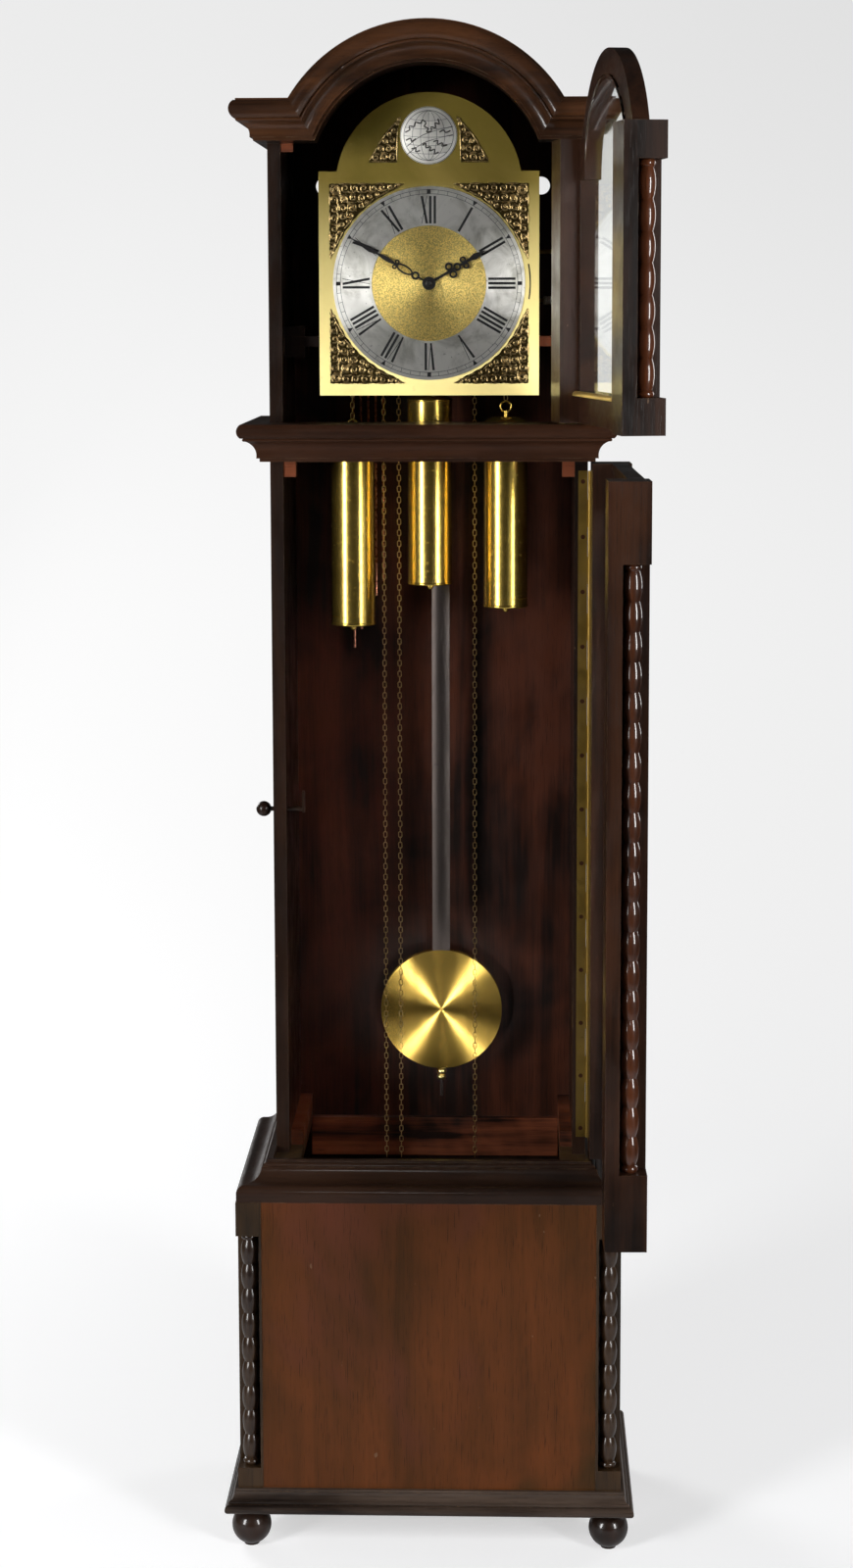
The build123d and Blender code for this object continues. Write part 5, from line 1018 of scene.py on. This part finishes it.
class CLOCK_OT_spandrels(bpy.types.Operator):
    """Cast spandrels of scrolls and leaves in the dial's corners and beside the globe"""

    bl_idname = "clock.spandrels"
    bl_label = "Spandrels"

    def execute(self, context):
        bpy.ops.object.select_all(action="DESELECT")
        plate_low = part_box("dial_plate")[0].z
        corner_x = DIAL_SQUARE / 2 - SPANDREL_MARGIN
        half = cast(CORNER_SCROLLS, CORNER_LEAVES, "corner")
        swapped = half.copy()
        swapped.data = half.data.copy()
        bpy.context.scene.collection.objects.link(swapped)
        swapped.data.transform(Matrix(((0, 0, 1, 0), (0, 1, 0, 0), (1, 0, 0, 0), (0, 0, 0, 1))))
        corner = joined([half, swapped], "corner")
        places = []
        for side in (-1, 1):
            for up, z in ((1, plate_low + SPANDREL_MARGIN),
                          (-1, plate_low + DIAL_SQUARE - SPANDREL_MARGIN)):
                places.append(Matrix.Translation((DIAL_X + side * corner_x, PLATE_FRONT, z))
                              @ Matrix.Diagonal((-side, 1, up, 1)))
        at_globe = [Matrix.Translation((DIAL_X, PLATE_FRONT, GLOBE_Z)) @ Matrix.Diagonal((side, 1, 1, 1))
                    for side in (-1, 1)]
        wing = cast(WING_SCROLLS, WING_LEAVES, "wing")
        scrolls = joined(copies(corner, places) + copies(wing, at_globe), "spandrel_scrolls")
        outward(scrolls)
        # The scrolls are light brass: worn on the raised parts, and partly a painted highlight.
        worn_and_lit_brass = metal("worn_and_lit_cast_brass", (0.62, 0.45, 0.2), (0.10, 0.06, 0.026), rough=(0.25, 0.42),
                       scale=110, tarnish=0.9)
        finish_piece(scrolls, "case", worn_and_lit_brass, smooth=60)

        corner = thin_plate(corner_edge(corner_x), SPANDREL_THICK)
        wing = thin_plate(metres(WING_EDGE), SPANDREL_THICK)
        plates = joined(copies(corner, places) + copies(wing, at_globe), "spandrel_plates")
        plates.data.transform(Matrix.Translation((0, -SPANDREL_THICK / 2, 0)))
        outward(plates)
        # The plate's dark tone is partly patina and partly painted shade in the gaps between the scrolls.
        dark = metal("cast_brass_and_shade", (0.06, 0.042, 0.014), (0.02, 0.013, 0.006), rough=(0.4, 0.55),
                     scale=50, tarnish=0.6)
        finish_piece(plates, "case", dark, ["spandrels"])
        return {"FINISHED"}


COASTS = (                   # rough coast lines on the globe, in mm about its centre
    ((-30, 4), (-24, 7), (-25, 12), (-18, 11), (-17, 17), (-10, 15), (-8, 20), (-3, 16), (-6, 11), (0, 9),
     (-3, 4), (4, 5), (3, 11), (9, 9), (8, 16), (14, 14), (12, 21)),
    ((-29, -6), (-23, -3), (-22, -8), (-16, -4)), ((14, 4), (19, 7), (22, 3), (28, 6)),
    ((-8, -12), (-3, -10), (-4, -16), (3, -14), (1, -20), (8, -17), (7, -24), (13, -21)),
    ((6, -8), (12, -6), (11, -12), (18, -9), (17, -14), (24, -12)),
    ((-22, -17), (-16, -15), (-17, -21), (-11, -19)),
)
GLOBE_BOW = 0.003            # rise of the dome
GLOBE_REACH = 0.86           # of its radius, where the lines end
GLOBE_LINE = 0.0005
COAST_LINE = 0.0019
BANNER = ((-28, -19), (-12, -6), (8, 1), (31, 6))    # its middle line in mm
BANNER_LINE = 0.0011
BANNER_HALF = 0.0052


def on_globe(points):
    """Points of (x, z) about the globe's centre, laid on its dome with a full thickness."""
    radius = (GLOBE_HIGH.x - GLOBE_LOW.x) / 2
    ball = (radius ** 2 + GLOBE_BOW ** 2) / (2 * GLOBE_BOW)
    made = []
    for x, z in points:
        sink = ball - math.sqrt(max(ball ** 2 - x ** 2 - z ** 2, 0))
        made.append((DIAL_X + x, GLOBE_LOW.y + sink, GLOBE_Z + z, 1.0))
    return made


class CLOCK_OT_globe(bpy.types.Operator):
    """Engraved lines, coasts and a plain banner on the globe boss"""

    bl_idname = "clock.globe"
    bl_label = "Globe engraving"

    def execute(self, context):
        bpy.ops.object.select_all(action="DESELECT")
        radius = (GLOBE_HIGH.x - GLOBE_LOW.x) / 2
        reach = radius * GLOBE_REACH
        lines = []
        for step in range(-2, 3):
            lean = step / 3
            upright = [math.pi * (i / 12 - 0.5) for i in range(13)]
            meridian = [(reach * lean * math.cos(angle), reach * math.sin(angle)) for angle in upright]
            lines.append(wire_path(on_globe(meridian), GLOBE_LINE, 1))
            width = math.sqrt(1 - lean ** 2)
            parallel = [(reach * width * across, reach * (lean + 0.08 * (across ** 2 - 1)))
                        for across in [i / 6 - 1 for i in range(13)]]
            lines.append(wire_path(on_globe(parallel), GLOBE_LINE, 1))
        for coast in COASTS:
            lines.append(wire_path(on_globe(metres(coast)), COAST_LINE, 1, order=2))
        for offset in (-BANNER_HALF, BANNER_HALF):
            edge = [(x, z - offset) for x, z in metres(BANNER)]
            lines.append(wire_path(on_globe(edge), BANNER_LINE, 1))
        for share in (0.87, 0.985):
            ring = [(radius * share * math.cos(TURN * i / 36), radius * share * math.sin(TURN * i / 36))
                    for i in range(36)]
            lines.append(wire_path(on_globe(ring), 0.0007, 1, cyclic=True))
        made = joined(lines, "globe_lines")
        wax = painted("engraving_wax", (0.03, 0.026, 0.02), 0.5)
        finish_piece(made, "case", wax, smooth=60)
        return {"FINISHED"}


# ---------------------------------------------------------------- fittings and chains
SCREWS = 13
SCREW_PITCH = 0.0715
SCREW_TOP = 0.014            # from the leaf's upper end to the first screw
SCREW_IN = 0.0062            # from the leaf's free edge
SCREW_SINK = 0.0028          # of a head's middle behind the knuckles' front
SLOT_RADIUS = 0.1305         # of the strike slot, about the dial's centre
LEVER_Y = 0.012
LEVERS = ((0.041, 0.006, 0.174), (-0.022, 0.005, 0.15))    # height over the dial's centre, thickness, end
KNOB_SIZE = 0.011


class CLOCK_OT_fittings(bpy.types.Operator):
    """Hinge screws, strike slot and the small levers beside the dial"""

    bl_idname = "clock.fittings"
    bl_label = "Screws and small fittings"

    def execute(self, context):
        bpy.ops.object.select_all(action="DESELECT")
        steel = metal("bright_steel", (0.55, 0.53, 0.5), (0.25, 0.22, 0.2), rough=(0.25, 0.4), scale=80)
        aged = metal("screw_brass", (0.3, 0.21, 0.07), (0.12, 0.08, 0.03), rough=(0.35, 0.5), scale=60)
        rusty = metal("rusty_screw", (0.075, 0.032, 0.018), (0.04, 0.018, 0.01), rough=(0.5, 0.7), scale=60)

        leaf_low, leaf_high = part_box("piano_hinge_case_leaf")
        screws = []
        for i in range(SCREWS):
            place = (leaf_low.x + SCREW_IN, leaf_low.y + SCREW_SINK,
                     leaf_high.z - SCREW_TOP - i * SCREW_PITCH)
            bpy.ops.mesh.primitive_cylinder_add(vertices=20, radius=0.0029, depth=0.0004, location=place,
                                                rotation=(math.pi / 2, 0, 0))
            screws.append(settle(context.object))
        made = joined(screws, "hinge_screws")
        modify(made, "BEVEL", width=0.0001, segments=1)
        finish_piece(made, "case", rusty, smooth=40)

        # The strike slot is a black strip on the plate's front: painted shade for its dark opening.
        angles = [math.radians(-9 + 2.2 * i) for i in range(10)]
        slot = [(DIAL_X + SLOT_RADIUS * math.cos(angle), PLATE_FRONT,
                 DIAL_Z + SLOT_RADIUS * math.sin(angle), 1.7) for angle in angles]
        made = wire_path(slot, 0.0011, 1)
        made.name = "strike_slot"
        finish_piece(made, "case", painted("slot", (0.004, 0.004, 0.004), 0.6),
                     smooth=60)

        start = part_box("movement_plates")[1].x - 0.004
        levers = []
        for up, size, end in LEVERS:
            bpy.ops.mesh.primitive_cylinder_add(vertices=24, radius=size / 2, depth=end - start,
                                                location=((start + end) / 2, LEVER_Y, DIAL_Z + up),
                                                rotation=(0, math.pi / 2, 0))
            levers.append(settle(context.object))
        made = joined(levers, "side_levers")
        finish_piece(made, "case", aged, smooth=40)

        knob_up, _, knob_x = LEVERS[1]
        bpy.ops.mesh.primitive_cube_add(size=KNOB_SIZE,
                                        location=(knob_x + 0.003, LEVER_Y, DIAL_Z + knob_up))
        made = settle(context.object)
        made.name = "lever_knob"
        modify(made, "BEVEL", width=0.0018, segments=3)
        finish_piece(made, "case", steel, smooth=40)
        return {"FINISHED"}


def link_model(chain):
    """One oval link about the origin, standing in the X-Z plane."""
    bpy.ops.mesh.primitive_torus_add(major_radius=(chain.width - chain.wire) / 2,
                                     minor_radius=chain.wire / 2, major_segments=12,
                                     minor_segments=4, rotation=(math.pi / 2, 0, 0))
    made = settle(bpy.context.object)
    stretch = (chain.pitch + 2 * chain.wire - chain.width) / 2
    for vertex in made.data.vertices:
        vertex.co.z += stretch if vertex.co.z > 0 else -stretch
    return made


def hanging_links(chain, place, bottom, turns):
    """Places of the links from the sprocket's centre down to the bottom, turned one way and the other."""
    count = round((SPROCKET_Z - bottom) / chain.pitch)
    step = (SPROCKET_Z - bottom) / count
    return [Matrix.Translation((*place, SPROCKET_Z - (i + 0.5) * step)) @ turns[i % 2]
            for i in range(count)]


class CLOCK_OT_chains(bpy.types.Operator):
    """Oval-link chains over the three sprockets"""

    bl_idname = "clock.chains"
    bl_label = "Chains"

    def execute(self, context):
        chain = context.scene.clock_chain
        metals = context.scene.clock_metal
        links = metal("chain_brass", (0.62, 0.46, 0.22), metals.tarnish, rough=(0.3, 0.5), scale=300,
                      tarnish=0.9)
        upright = Matrix.Identity(4)
        sideways = Matrix.Rotation(math.pi / 2, 4, "Z")
        for name, side in CHAIN_SIDES.items():
            low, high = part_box(f"{name}_weight_chain")
            x, y = (low.x + high.x) / 2, (low.y + high.y) / 2
            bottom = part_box(f"{name}_free_chain")[0].z
            free_x = x + 2 * side * SPROCKET_RADIUS
            places = hanging_links(chain, (x, y), low.z, (upright, sideways))
            made = joined(copies(link_model(chain), places), f"{name}_weight_links")
            finish_piece(made, None, links, [f"{name}_weight_chain"], smooth=60)
            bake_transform(made)

            places = hanging_links(chain, (free_x, y), bottom, (sideways, upright))
            made = joined(copies(link_model(chain), places), f"{name}_free_links")
            finish_piece(made, "case", links, [f"{name}_free_chain"], smooth=60)
            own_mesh(made)

            hub = Vector((x + side * SPROCKET_RADIUS, y, SPROCKET_Z))
            places = []
            for i in range(BEND_LINKS):
                angle = math.pi * (i + 0.5) / BEND_LINKS
                spot = hub + Vector((-side * math.cos(angle), 0, math.sin(angle))) * SPROCKET_RADIUS
                lean = Matrix.Rotation(side * angle, 4, "Y")
                places.append(Matrix.Translation(spot) @ lean @ (upright if i % 2 else sideways))
            made = joined(copies(link_model(chain), places), f"{name}_bend_links")
            finish_piece(made, "case", links, smooth=60)
        return {"FINISHED"}


class CLOCK_PT_panel(bpy.types.Panel):
    """Shows a button for each of the clock's steps"""

    bl_idname = "CLOCK_PT_panel"
    bl_label = "Longcase clock"
    bl_space_type = "VIEW_3D"
    bl_region_type = "UI"
    bl_category = "Clock"

    def draw(self, context):
        for operator in OPERATORS:
            self.layout.operator(operator.bl_idname)


# ---------------------------------------------------------------- add-on
SETTINGS = {"clock_wood": ClockWood, "clock_metal": ClockMetal, "clock_dial": ClockDial,
            "clock_chain": ClockChain, "clock_light": ClockLight}
OPERATORS = (CLOCK_OT_stage, CLOCK_OT_wood, CLOCK_OT_metal, CLOCK_OT_dial_marks, CLOCK_OT_spandrels,
             CLOCK_OT_globe, CLOCK_OT_fittings, CLOCK_OT_chains)


def register():
    for each in (*SETTINGS.values(), *OPERATORS, CLOCK_PT_panel):
        bpy.utils.register_class(each)
    for name, kind in SETTINGS.items():
        setattr(bpy.types.Scene, name, PointerProperty(type=kind))


def unregister():
    for name in SETTINGS:
        delattr(bpy.types.Scene, name)
    for each in (CLOCK_PT_panel, *reversed(OPERATORS), *reversed(SETTINGS.values())):
        bpy.utils.unregister_class(each)


def main():
    register()
    for operator in OPERATORS:
        group, name = operator.bl_idname.split(".")
        getattr(getattr(bpy.ops, group), name)()


if __name__ == "__main__":
    main()
